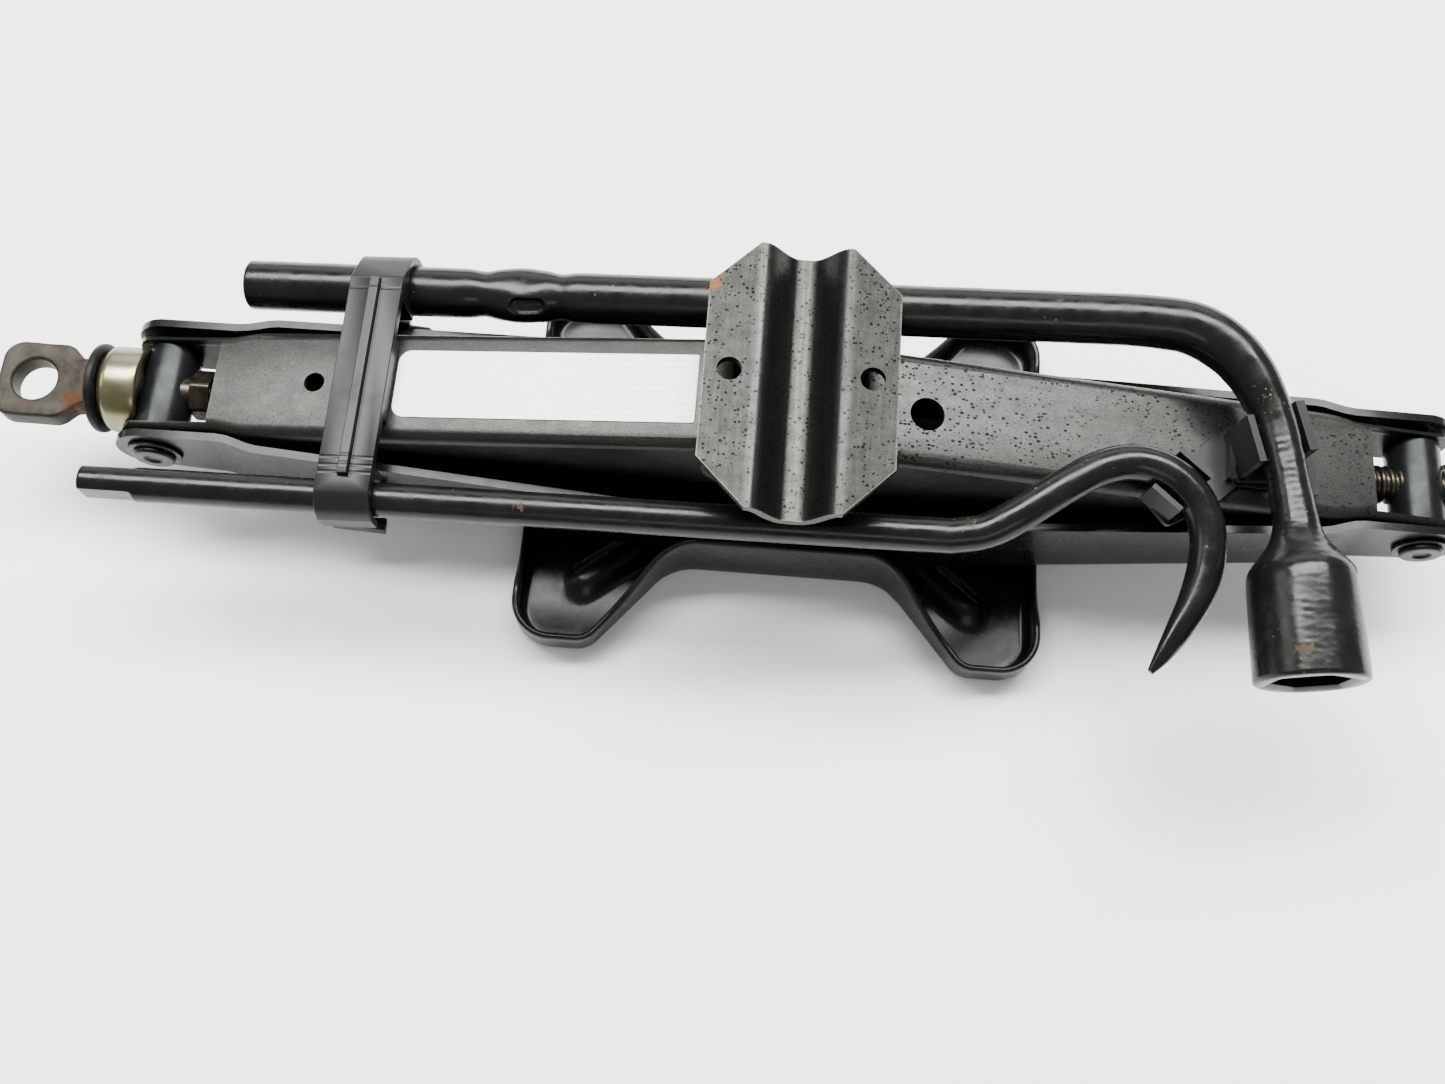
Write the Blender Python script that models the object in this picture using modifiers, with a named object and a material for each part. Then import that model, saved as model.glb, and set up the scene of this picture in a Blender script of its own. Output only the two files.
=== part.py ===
"""Scissor car jack with its lug wrench, hook handle, retaining strap and tool bracket.

Frame: origin on the ground under the middle of the base, +X along the jack towards the free end of
the screw, +Y towards the side that carries the lug wrench, +Z up. Sizes are in millimetres and are
turned into metres by MM. The jack is modelled folded flat, as it is stored.
"""
import math

import bmesh
import bpy
from mathutils import Matrix, Vector

MM = 0.001

# Linkage
HALF_SPAN = 206.9          # trunnion axis to the middle of the jack
PIVOT_OFFSET = 16.0        # arm pivots on each side of the middle, and pitch radius of the arm gears
REST_ANGLE = math.radians(7.5)
ARM_LENGTH = (HALF_SPAN - PIVOT_OFFSET) / math.cos(REST_ANGLE)
ARM_RISE = ARM_LENGTH * math.sin(REST_ANGLE)
TRUNNION_Z = 42.8
BASE_PIVOT_Z = TRUNNION_Z - ARM_RISE
SADDLE_PIVOT_Z = TRUNNION_Z + ARM_RISE

# Lower arms: channels open at the top, which hold the upper arms
LOWER = {"half_width": 31.0, "taper": 0.0453, "ear_half_width": 21.0, "web": 14.3, "sheet": 2.6,
         "corner": 4.5, "ear_radius": 12.4, "pin_hole": 5.3, "stub_hole": 5.9}
# Upper arms: channels open at the bottom
UPPER = {"half_width": 19.0, "taper": 0.0, "ear_half_width": 17.2, "web": 10.3, "sheet": 2.4,
         "corner": 4.2, "ear_radius": 11.4, "pin_hole": 5.1, "stub_hole": 5.9}
JOGGLE_START = 34.0        # the flanges step inwards between these distances from the trunnion
JOGGLE_END = 21.0
WEB_END = 20.5             # the web stops this far from the trunnion axis

# Gear teeth cut on the ends of the arms
TOOTH_PITCH = math.radians(22.5)
TOOTH_TIP = 17.2
TOOTH_ROOT = 13.8
TOOTH_HALF = 1.12          # half thickness on the pitch circle
TOOTH_SLOPE = 0.45         # flank slope
GEAR_END_RADIUS = 11.6

# Base
BASE_SHEET = 2.3
BASE_RIM_Z = 15.0
BASE_EAR_Z = 31.0
BASE_GATE_Z = 9.5           # rim under the arms, where they leave the base
BASE_WALL_Y = 34.6
FOOT_X, FOOT_Y = 89.5, 66.3

# Saddle
SADDLE_TOP = 92.4
SADDLE_X, SADDLE_Y = 29.5, 44.0
SADDLE_CHAMFER = 15.0
SADDLE_SHEET = 2.8
GROOVE_HALF = 13.5
GROOVE_DEPTH = 8.8
CHEEK_INNER, CHEEK_OUTER = 20.0, 22.8

# Pins, trunnions and screw
PIN_RADIUS = 5.0
SADDLE_PIN_RADIUS = 4.8
BARREL_RADIUS, BARREL_HALF = 8.75, 14.4
STUB_RADIUS = 5.6
SCREW_RADIUS = 6.4
SCREW_BORE = 6.8
GAP = 0.3

# Loose tools
TUBE_RADIUS = 7.5
NECK_RADIUS = 6.25
TUBE_START = Vector((-188.0, 38.6, 49.8))
TUBE_END = Vector((96.0, 34.8, 77.2))
SOCKET_MOUTH = Vector((156.4, -78.0, 71.6))
ROD_RADIUS = 5.5
ROD_START = Vector((-220.5, -38.6, 57.0))
ROD_END = Vector((50.0, -38.6, 67.0))

# Strap and bracket
STRAP_X = -137.0
STRAP_WIDTH = 17.5
STRAP_TILT = math.radians(5.5)
KEEPER_U = 126.0           # distance of the keeper from the lower left arm's pivot


# ---------------------------------------------------------------- scene helpers

def clear_scene():
    for obj in list(bpy.data.objects):
        bpy.data.objects.remove(obj, do_unlink=True)


def new_collection(name):
    collection = bpy.data.collections.new(name)
    bpy.context.scene.collection.children.link(collection)
    return collection


def make_material(name, color, roughness, metallic):
    material = bpy.data.materials.new(name)
    material.use_nodes = True
    shader = material.node_tree.nodes["Principled BSDF"]
    shader.inputs["Base Color"].default_value = (*color, 1.0)
    shader.inputs["Roughness"].default_value = roughness
    shader.inputs["Metallic"].default_value = metallic
    material.diffuse_color = (*color, 1.0)
    return material


def place(name, mesh, material, matrix=None):
    """Put a mesh in the jack's collection under the node's name."""
    obj = bpy.data.objects.new(name, mesh)
    if material:
        mesh.materials.clear()
        mesh.materials.append(material)
    jack.objects.link(obj)
    if matrix is not None:
        obj.matrix_world = matrix
    return obj


def cutter(name, mesh, matrix=None):
    """Put a mesh in the hidden collection of cutting and joining bodies."""
    obj = bpy.data.objects.new(name, mesh)
    cutters.objects.link(obj)
    obj.hide_render = True
    obj.display_type = "WIRE"
    if matrix is not None:
        obj.matrix_world = matrix
    return obj


def boolean(obj, tool, operation):
    modifier = obj.modifiers.new(operation.title(), "BOOLEAN")
    modifier.operation = operation
    modifier.solver = "EXACT"
    modifier.object = tool
    return modifier


def finish_mesh(bm, name):
    mesh = bpy.data.meshes.new(name)
    bm.to_mesh(mesh)
    bm.free()
    return mesh


def smooth(mesh, angle=30.0):
    mesh.shade_smooth()
    mesh.set_sharp_from_angle(angle=math.radians(angle))


# ---------------------------------------------------------------- shapes

def ease(low, high, value):
    """0 below low, 1 above high, and a smooth step between."""
    t = min(max((value - low) / (high - low), 0.0), 1.0)
    return t * t * (3 - 2 * t)


def arc(center, radius, start, end, steps):
    """Points on an arc in a plane, angles in degrees."""
    points = []
    for i in range(steps + 1):
        angle = math.radians(start + (end - start) * i / steps)
        points.append((center[0] + radius * math.cos(angle), center[1] + radius * math.sin(angle)))
    return points


def rounded_outline(corners, steps=5):
    """Closed outline from (x, y, radius) corners, each corner an arc tangent to its two sides."""
    points = []
    count = len(corners)
    for i, (x, y, radius) in enumerate(corners):
        here = Vector((x, y))
        before = (Vector(corners[i - 1][:2]) - here).normalized()
        after = (Vector(corners[(i + 1) % count][:2]) - here).normalized()
        if radius <= 0:
            points.append((x, y))
            continue
        half = before.angle(after) / 2
        reach = radius / math.tan(half)
        start, end = here + before * reach, here + after * reach
        middle = here + (before + after).normalized() * (radius / math.sin(half))
        first, last = start - middle, end - middle
        turn = first.angle_signed(last)
        for k in range(steps + 1):
            spoke = first.copy()
            spoke.rotate(Matrix.Rotation(-turn * k / steps, 2))
            points.append(tuple(middle + spoke))
    return points


def outline_mesh(name, points, thickness, along="Z", offset=0.0):
    """Solid plate from a flat outline: a filled 2D curve, extruded, and turned to face `along`.

    With along="Y" the outline is read as (x, z), with along="X" as (y, z). The plate's middle plane
    lies at `offset` on that axis.
    """
    curve = bpy.data.curves.new(name, "CURVE")
    curve.dimensions = "2D"
    curve.fill_mode = "BOTH"
    curve.extrude = thickness / 2 * MM
    spline = curve.splines.new("POLY")
    spline.points.add(len(points) - 1)
    for point, (x, y) in zip(spline.points, points):
        point.co = (x * MM, y * MM, 0, 1)
    spline.use_cyclic_u = True
    obj = bpy.data.objects.new(name, curve)
    bpy.context.scene.collection.objects.link(obj)
    mesh = mesh_from(obj)
    if along == "Y":
        mesh.transform(Matrix.Rotation(math.radians(90), 4, "X"))
        mesh.transform(Matrix.Translation((0, offset * MM, 0)))
    elif along == "X":
        turn = Matrix(((0, 0, 1, 0), (1, 0, 0, 0), (0, 1, 0, 0), (0, 0, 0, 1)))
        mesh.transform(Matrix.Translation((offset * MM, 0, 0)) @ turn)
    else:
        mesh.transform(Matrix.Translation((0, 0, offset * MM)))
    return mesh


def mesh_from(obj):
    """Mesh of a curve object, its loose caps welded; the curve is removed."""
    graph = bpy.context.evaluated_depsgraph_get()
    mesh = bpy.data.meshes.new_from_object(obj.evaluated_get(graph))
    bpy.data.objects.remove(obj)
    bm = bmesh.new()
    bm.from_mesh(mesh)
    bmesh.ops.remove_doubles(bm, verts=bm.verts, dist=0.00001)
    bmesh.ops.recalc_face_normals(bm, faces=bm.faces)
    bm.to_mesh(mesh)
    bm.free()
    return mesh


def add_box(bm, low, high, turn=0.0, pivot=(0, 0, 0), bevel=0.0):
    """Add a box between two corners to a bmesh, turned about Z through the pivot, in degrees."""
    low, high = Vector(low), Vector(high)
    scale = Matrix.Diagonal((*(high - low), 1.0))
    matrix = Matrix.Translation((low + high) / 2) @ scale
    spin = Matrix.Translation(pivot) @ Matrix.Rotation(math.radians(turn), 4, "Z")
    spin = spin @ Matrix.Translation(-Vector(pivot))
    made = bmesh.ops.create_cube(bm, size=1.0, matrix=Matrix.Scale(MM, 4) @ spin @ matrix)
    if bevel:
        edges = {edge for vert in made["verts"] for edge in vert.link_edges}
        bmesh.ops.bevel(bm, geom=list(edges), offset=bevel * MM, segments=2, profile=0.5,
                        affect="EDGES", clamp_overlap=True)


def add_cylinder(bm, start, end, radius, sides=24):
    start, end = Vector(start), Vector(end)
    direction = end - start
    turn = direction.to_track_quat("Z", "Y").to_matrix().to_4x4()
    matrix = Matrix.Translation((start + end) / 2 * MM) @ turn
    bmesh.ops.create_cone(bm, cap_ends=True, cap_tris=False, segments=sides, radius1=radius * MM,
                          radius2=radius * MM, depth=direction.length * MM, matrix=matrix)


def box_mesh(name, low, high, bevel=0.0):
    bm = bmesh.new()
    add_box(bm, low, high, bevel=bevel)
    return finish_mesh(bm, name)


def cylinder_mesh(name, start, end, radius, sides=24):
    bm = bmesh.new()
    add_cylinder(bm, start, end, radius, sides)
    return finish_mesh(bm, name)


def turned(name, profile, material, axis, center=(0, 0, 0), steps=24):
    """Turned piece: (radius, height) profile, outer side running top to bottom, about an axis."""
    mesh = bpy.data.meshes.new(name)
    verts = [(radius * MM, 0, height * MM) for radius, height in profile]
    edges = [(i, i + 1) for i in range(len(profile) - 1)]
    if profile[0][0] > 0:
        edges.append((len(profile) - 1, 0))
    mesh.from_pydata(verts, edges, [])
    direction = {"X": Vector((1, 0, 0)), "Y": Vector((0, 1, 0)), "Z": Vector((0, 0, 1))}[axis]
    turn = direction.to_track_quat("Z", "Y").to_matrix().to_4x4()
    obj = place(name, mesh, material, Matrix.Translation(Vector(center) * MM) @ turn)
    spin = obj.modifiers.new("Turn", "SCREW")
    spin.axis = "Z"
    spin.angle = math.radians(360)
    spin.steps = spin.render_steps = steps
    spin.use_merge_vertices = True
    spin.merge_threshold = 0.00001
    spin.use_smooth_shade = True
    return obj


def round_bar_mesh(name, points, depth, radii=None, resolution=2):
    """Bar of round section along hand-picked points, with an optional radius at each point."""
    curve = bpy.data.curves.new(name, "CURVE")
    curve.dimensions = "3D"
    curve.fill_mode = "FULL"
    curve.bevel_depth = depth * MM
    curve.bevel_resolution = resolution
    curve.use_fill_caps = True
    spline = curve.splines.new("POLY")
    spline.points.add(len(points) - 1)
    for i, point in enumerate(points):
        spline.points[i].co = (*(Vector(point) * MM), 1)
        spline.points[i].radius = radii[i] / depth if radii else 1.0
    obj = bpy.data.objects.new(name, curve)
    bpy.context.scene.collection.objects.link(obj)
    return mesh_from(obj)


def smooth_route(points, per_span=4):
    """Catmull-Rom curve through points; each point may carry a radius as its fourth number."""
    rows = [Vector(point) for point in points]
    rows = [rows[0] * 2 - rows[1]] + rows + [rows[-1] * 2 - rows[-2]]
    route = []
    for i in range(1, len(rows) - 2):
        a, b, c, d = rows[i - 1:i + 3]
        for k in range(per_span):
            t = k / per_span
            route.append((b * 2 + (c - a) * t + (a * 2 - b * 5 + c * 4 - d) * t * t
                          + (b * 3 - a - c * 3 + d) * t ** 3) / 2)
    route.append(rows[-2])
    return route


# ---------------------------------------------------------------- arms

def arm_matrix(side, pivot_z, rising):
    """Arm frame at rest: X along the arm, Y as the jack, Z out of the web's plane, at the pivot."""
    angle = -side * REST_ANGLE if rising else side * REST_ANGLE
    return Matrix.Translation((side * PIVOT_OFFSET * MM, 0, pivot_z * MM)) @ Matrix.Rotation(angle, 4, "Y")


def half_width(size, u):
    """Outer half width of an arm at the distance u from its pivot."""
    plain = size["half_width"] - size["taper"] * u
    step = ease(ARM_LENGTH - JOGGLE_START, ARM_LENGTH - JOGGLE_END, u)
    return plain + (size["ear_half_width"] - plain) * step


def channel_sheet(name, size, side, opens):
    """Open sheet of the arm's outside: a U section carried along the arm. opens is +1 up, -1 down."""
    joggle = [ARM_LENGTH - JOGGLE_START + (JOGGLE_START - JOGGLE_END) * k / 4 for k in range(5)]
    stations = [-20.0] + joggle + [ARM_LENGTH + 14.0]
    bm = bmesh.new()
    rows = []
    for u in stations:
        reach = half_width(size, u)
        inner = reach - size["corner"]
        level = -size["web"] + size["corner"]
        section = [(reach, 32.0)] + arc((inner, level), size["corner"], 0, -90, 4)
        section += arc((-inner, level), size["corner"], -90, -180, 4) + [(-reach, 32.0)]
        rows.append([bm.verts.new((side * u * MM, y * MM, opens * w * MM)) for y, w in section])
    for first, second in zip(rows, rows[1:]):
        for k in range(len(first) - 1):
            face = [first[k], second[k], second[k + 1], first[k + 1]]
            bm.faces.new(face if side * opens > 0 else face[::-1])
    return finish_mesh(bm, name)


def gear_teeth(first_angle):
    """Four stamped teeth about the pivot, in (u, w) with w towards the channel's open side."""
    points = []
    for k in range(4):
        middle = first_angle + k * TOOTH_PITCH
        root = (TOOTH_HALF + (PIVOT_OFFSET - TOOTH_ROOT) * TOOTH_SLOPE) / TOOTH_ROOT
        tip = (TOOTH_HALF - (TOOTH_TIP - PIVOT_OFFSET) * TOOTH_SLOPE) / TOOTH_TIP
        for offset, radius in ((-root, TOOTH_ROOT), (-tip, TOOTH_TIP), (tip, TOOTH_TIP), (root, TOOTH_ROOT)):
            angle = middle + offset
            points.append((radius * math.cos(angle), radius * math.sin(angle)))
    return points


def arm_outline(size, side, edge):
    """Side view of an arm in (u, w): rounded ear, flange edge, toothed end. edge is its open edge."""
    web = size["web"]
    phase = 0.0 if side > 0 else -TOOTH_PITCH / 2
    contact = math.pi - REST_ANGLE                 # towards the other arm, seen from this arm
    points = arc((ARM_LENGTH, 0), size["ear_radius"], -80, 70, 9)
    points += edge
    points += gear_teeth(contact - 3 * TOOTH_PITCH + phase)
    points += arc((0, 0), GEAR_END_RADIUS, math.degrees(contact + phase) + 16, 262, 4)
    points += [(4.0, -web - 1.0), (ARM_LENGTH - 17.0, -web - 1.0)]
    return [(side * u, w) for u, w in points]


def build_arm(name, size, side, opens, edge, material, web_holes):
    """Bent sheet arm: sheet, cut to its side view, with pin holes, web ends and web holes."""
    rising = opens > 0
    pivot_z = BASE_PIVOT_Z if rising else SADDLE_PIVOT_Z
    matrix = arm_matrix(side, pivot_z, rising)
    obj = place(name, channel_sheet(name, size, side, opens), material, matrix)
    shell = obj.modifiers.new("Sheet", "SOLIDIFY")
    shell.thickness = size["sheet"] * MM
    shell.offset = -1
    shell.use_even_offset = True

    outline = [(u, opens * w) for u, w in arm_outline(size, side, edge)]
    side_view = outline_mesh(name + "_side", outline, 90, "Y")
    boolean(obj, cutter(name + "_side_view", side_view, matrix), "INTERSECT")

    bm = bmesh.new()
    inside = half_width(size, 0) - size["sheet"] - 0.2
    ear_inside = size["ear_half_width"] - size["sheet"] - 0.2
    low, high = sorted((opens * (-size["web"] - 3), opens * (-size["web"] + size["corner"] + 1.5)))
    near = sorted((side * -25.0, side * 3.0))
    far = sorted((side * (ARM_LENGTH - WEB_END), side * (ARM_LENGTH + 25)))
    add_box(bm, (near[0], -inside, low), (near[1], inside, high))
    add_box(bm, (far[0], -ear_inside, low), (far[1], ear_inside, high))
    boolean(obj, cutter(name + "_web_ends", finish_mesh(bm, name + "_ends"), matrix), "DIFFERENCE")

    bm = bmesh.new()
    add_cylinder(bm, (0, -45, 0), (0, 45, 0), size["pin_hole"])
    end = side * ARM_LENGTH
    add_cylinder(bm, (end, -45, 0), (end, 45, 0), size["stub_hole"])
    for distance, y, radius in web_holes:
        u = side * distance
        add_cylinder(bm, (u, y, opens * (-size["web"] - 4)), (u, y, opens * (-size["web"] + 5)), radius, 28)
    boolean(obj, cutter(name + "_holes", finish_mesh(bm, name + "_holes"), matrix), "DIFFERENCE")
    return obj


def build_arms():
    lower_edge = [(ARM_LENGTH - 8, 13.6), (ARM_LENGTH - 24, 16.0), (17.5, 26.0), (3.2, 17.4)]
    upper_edge = [(ARM_LENGTH - 14, 12.4), (ARM_LENGTH - 50, 17.0), (ARM_LENGTH - 80, 19.0), (12.0, 19.0),
                  (3.2, 17.4)]
    for side, word in ((-1, "left"), (1, "right")):
        build_arm("lower_%s_arm" % word, LOWER, side, 1, lower_edge, black_steel, [])
        holes = [(138.0, 0.0, 3.35)] if side < 0 else [(23.5, -2.0, 5.5)]
        build_arm("upper_%s_arm" % word, UPPER, side, -1, upper_edge, black_steel, holes)


# ---------------------------------------------------------------- base

def base_height(x, y):
    """Height of the rim: up to the pivot walls in the middle, down where the arms leave the base."""
    under_arms = ease(38.0, 50.0, abs(y)) if abs(x) > FOOT_X - 1 else 1.0
    foot = BASE_GATE_Z + (BASE_RIM_Z - BASE_GATE_Z) * under_arms
    return foot + (BASE_EAR_Z - foot) * ease(-58.0, -28.0, -abs(x))


def build_base():
    quarter = [(36.6, BASE_WALL_Y, 18.0), (62.8, FOOT_Y, 9.0), (FOOT_X, FOOT_Y, 14.0)]
    corners = [(x, y, r) for x, y, r in quarter]
    corners += [(x, -y, r) for x, y, r in reversed(quarter)]
    corners += [(-x, -y, r) for x, y, r in quarter]
    corners += [(-x, y, r) for x, y, r in reversed(quarter)]
    outline = rounded_outline(corners, 4)
    for sign in (1, -1):
        for y in (-38.0, 38.0):
            insert_on_side(outline, sign * FOOT_X, y)

    bm = bmesh.new()
    floor = bm.faces.new([bm.verts.new((x * MM, y * MM, 0)) for x, y in outline])
    floor.normal_update()
    if floor.normal.z > 0:
        floor.normal_flip()
    edges = list(floor.edges)
    grown = bmesh.ops.extrude_edge_only(bm, edges=edges)["geom"]
    for vert in [item for item in grown if isinstance(item, bmesh.types.BMVert)]:
        vert.co.z = base_height(vert.co.x / MM, vert.co.y / MM) * MM
    bend = [edge for edge in bm.edges if all(abs(v.co.z) < 1e-7 for v in edge.verts)]
    bmesh.ops.bevel(bm, geom=bend, offset=4.5 * MM, segments=2, profile=0.5, affect="EDGES")
    bmesh.ops.recalc_face_normals(bm, faces=bm.faces)
    lowest = min(bm.faces, key=lambda face: face.calc_center_median().z)
    if lowest.normal.z > 0:
        bmesh.ops.reverse_faces(bm, faces=bm.faces)
    base = place("base_plate", finish_mesh(bm, "base_plate"), black_steel)
    shell = base.modifiers.new("Sheet", "SOLIDIFY")
    shell.thickness = BASE_SHEET * MM
    shell.offset = -1
    shell.use_even_offset = True

    bm = bmesh.new()
    for side_x in (-1, 1):
        for side_y in (-1, 1):
            center = (side_x * 54.0, side_y * 33.0, 0)
            add_box(bm, (center[0] - 18, center[1] - 6.0, 1.0), (center[0] + 18, center[1] + 6.0, 5.6),
                    turn=side_x * side_y * 33.0, pivot=center, bevel=2.2)
    boolean(base, cutter("base_ribs", finish_mesh(bm, "base_ribs")), "UNION")

    bm = bmesh.new()
    for side in (-1, 1):
        x = side * PIVOT_OFFSET
        add_cylinder(bm, (x, -50, BASE_PIVOT_Z), (x, 50, BASE_PIVOT_Z), PIN_RADIUS + GAP)
    boolean(base, cutter("base_pin_holes", finish_mesh(bm, "base_pin_holes")), "DIFFERENCE")

    for side, word in ((-1, "left"), (1, "right")):
        half = BASE_WALL_Y - 0.1
        turned(word + "_base_pin", [(0, half), (PIN_RADIUS - 0.6, half), (PIN_RADIUS, half - 0.6),
                                    (PIN_RADIUS, -half + 0.6), (PIN_RADIUS - 0.6, -half), (0, -half)],
               pin_steel, "Y", (side * PIVOT_OFFSET, 0, BASE_PIVOT_Z))


def insert_on_side(outline, x, y):
    """Add a point on a straight end of the outline, so that the rim's height can vary there."""
    for i, (first, second) in enumerate(zip(outline, outline[1:] + outline[:1])):
        straight = abs(first[0] - x) < 1e-4 and abs(second[0] - x) < 1e-4
        if straight and min(first[1], second[1]) < y < max(first[1], second[1]):
            outline.insert(i + 1, (x, y))
            return


# ---------------------------------------------------------------- saddle

def saddle_level(x):
    """Top of the saddle plate: flat wings and a rounded groove along Y."""
    if abs(x) >= GROOVE_HALF:
        return SADDLE_TOP
    return SADDLE_TOP - GROOVE_DEPTH * (0.5 + 0.5 * math.cos(math.pi * x / GROOVE_HALF))


def saddle_underside(x):
    slope = (saddle_level(x + 0.1) - saddle_level(x - 0.1)) / 0.2
    return saddle_level(x) - SADDLE_SHEET * math.sqrt(1 + slope * slope)


def build_saddle():
    columns = [-SADDLE_X - 5] + [GROOVE_HALF * k / 8 for k in range(-8, 9)] + [SADDLE_X + 5]
    bm = bmesh.new()
    rows = [[bm.verts.new((x * MM, y * MM, saddle_level(x) * MM)) for x in columns]
            for y in (-SADDLE_Y - 5, SADDLE_Y + 5)]
    for k in range(len(columns) - 1):
        bm.faces.new((rows[0][k], rows[0][k + 1], rows[1][k + 1], rows[1][k]))
    plate = place("saddle_plate", finish_mesh(bm, "saddle_plate"), worn_steel)
    shell = plate.modifiers.new("Sheet", "SOLIDIFY")
    shell.thickness = SADDLE_SHEET * MM
    shell.offset = -1
    shell.use_even_offset = True
    c = SADDLE_CHAMFER
    octagon = [(SADDLE_X, SADDLE_Y - c), (SADDLE_X - c, SADDLE_Y), (-SADDLE_X + c, SADDLE_Y),
               (-SADDLE_X, SADDLE_Y - c), (-SADDLE_X, -SADDLE_Y + c), (-SADDLE_X + c, -SADDLE_Y),
               (SADDLE_X - c, -SADDLE_Y), (SADDLE_X, -SADDLE_Y + c)]
    blank = outline_mesh("saddle_blank", octagon, 40, "Z", SADDLE_TOP - 8)
    boolean(plate, cutter("saddle_outline", blank), "INTERSECT")
    bm = bmesh.new()
    for x in (-21.6, 21.6):
        add_cylinder(bm, (x, 0, SADDLE_TOP - 8), (x, 0, SADDLE_TOP + 4), 3.8)
    boolean(plate, cutter("saddle_holes", finish_mesh(bm, "saddle_holes")), "DIFFERENCE")

    top = [(GROOVE_HALF * k / 8, saddle_underside(GROOVE_HALF * k / 8) - 0.5) for k in range(8, -9, -1)]
    reach = 12.3
    outline = [(PIVOT_OFFSET + reach, SADDLE_TOP - SADDLE_SHEET - GAP)] + top
    outline += [(-PIVOT_OFFSET - reach, SADDLE_TOP - SADDLE_SHEET - GAP)]
    outline += arc((-PIVOT_OFFSET, SADDLE_PIVOT_Z), reach, 180, 270, 6)
    outline += arc((PIVOT_OFFSET, SADDLE_PIVOT_Z), reach, 270, 360, 6)
    bm = bmesh.new()
    for side in (-1, 1):
        x = side * PIVOT_OFFSET
        add_cylinder(bm, (x, -40, SADDLE_PIVOT_Z), (x, 40, SADDLE_PIVOT_Z), SADDLE_PIN_RADIUS + GAP)
    pin_holes = cutter("saddle_pin_holes", finish_mesh(bm, "saddle_pin_holes"))
    middle = (CHEEK_OUTER + CHEEK_INNER) / 2
    for sign, name in ((-1, "front_cheek"), (1, "back_cheek")):
        cheek = place(name, outline_mesh(name, outline, CHEEK_OUTER - CHEEK_INNER, "Y", sign * middle),
                      black_steel)
        boolean(cheek, pin_holes, "DIFFERENCE")

    for side, word in ((-1, "left"), (1, "right")):
        edge = CHEEK_OUTER + GAP
        head = edge + 1.4
        profile = [(0, head), (5.6, head), (6.4, head - 0.7), (6.4, edge), (SADDLE_PIN_RADIUS, edge)]
        profile += [(radius, -height) for radius, height in reversed(profile)]
        turned(word + "_saddle_pin", profile, pin_steel, "Y", (side * PIVOT_OFFSET, 0, SADDLE_PIVOT_Z))


# ---------------------------------------------------------------- trunnions and screw

def build_trunnions():
    ear = LOWER["ear_half_width"]
    washer = (ear + 0.2, ear + 1.3)
    head = (ear + 1.5, ear + 3.0)
    for side, word in ((-1, "left"), (1, "right")):
        center = (side * HALF_SPAN, 0, TRUNNION_Z)
        profile = [(0, head[1]), (5.6, head[1]), (6.6, head[1] - 0.8), (6.6, head[0]), (STUB_RADIUS, head[0]),
                   (STUB_RADIUS, BARREL_HALF), (BARREL_RADIUS - 0.8, BARREL_HALF),
                   (BARREL_RADIUS, BARREL_HALF - 0.8)]
        profile += [(radius, -height) for radius, height in reversed(profile)]
        barrel = turned(word + "_trunnion", profile, black_steel, "Y", center)
        bore = cylinder_mesh(word + "_bore", (center[0] - 15, 0, TRUNNION_Z),
                             (center[0] + 15, 0, TRUNNION_Z), SCREW_BORE)
        boolean(barrel, cutter(word + "_trunnion_bore", bore), "DIFFERENCE")
        ring = [(8.6, washer[1]), (8.6, washer[0]), (STUB_RADIUS + GAP, washer[0]),
                (STUB_RADIUS + GAP, washer[1])]
        for sign, end in ((-1, "front"), (1, "back")):
            flipped = ring if sign > 0 else [(radius, -height) for radius, height in reversed(ring)]
            turned("%s_%s_washer" % (word, end), flipped, pin_steel, "Y", center)


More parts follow.
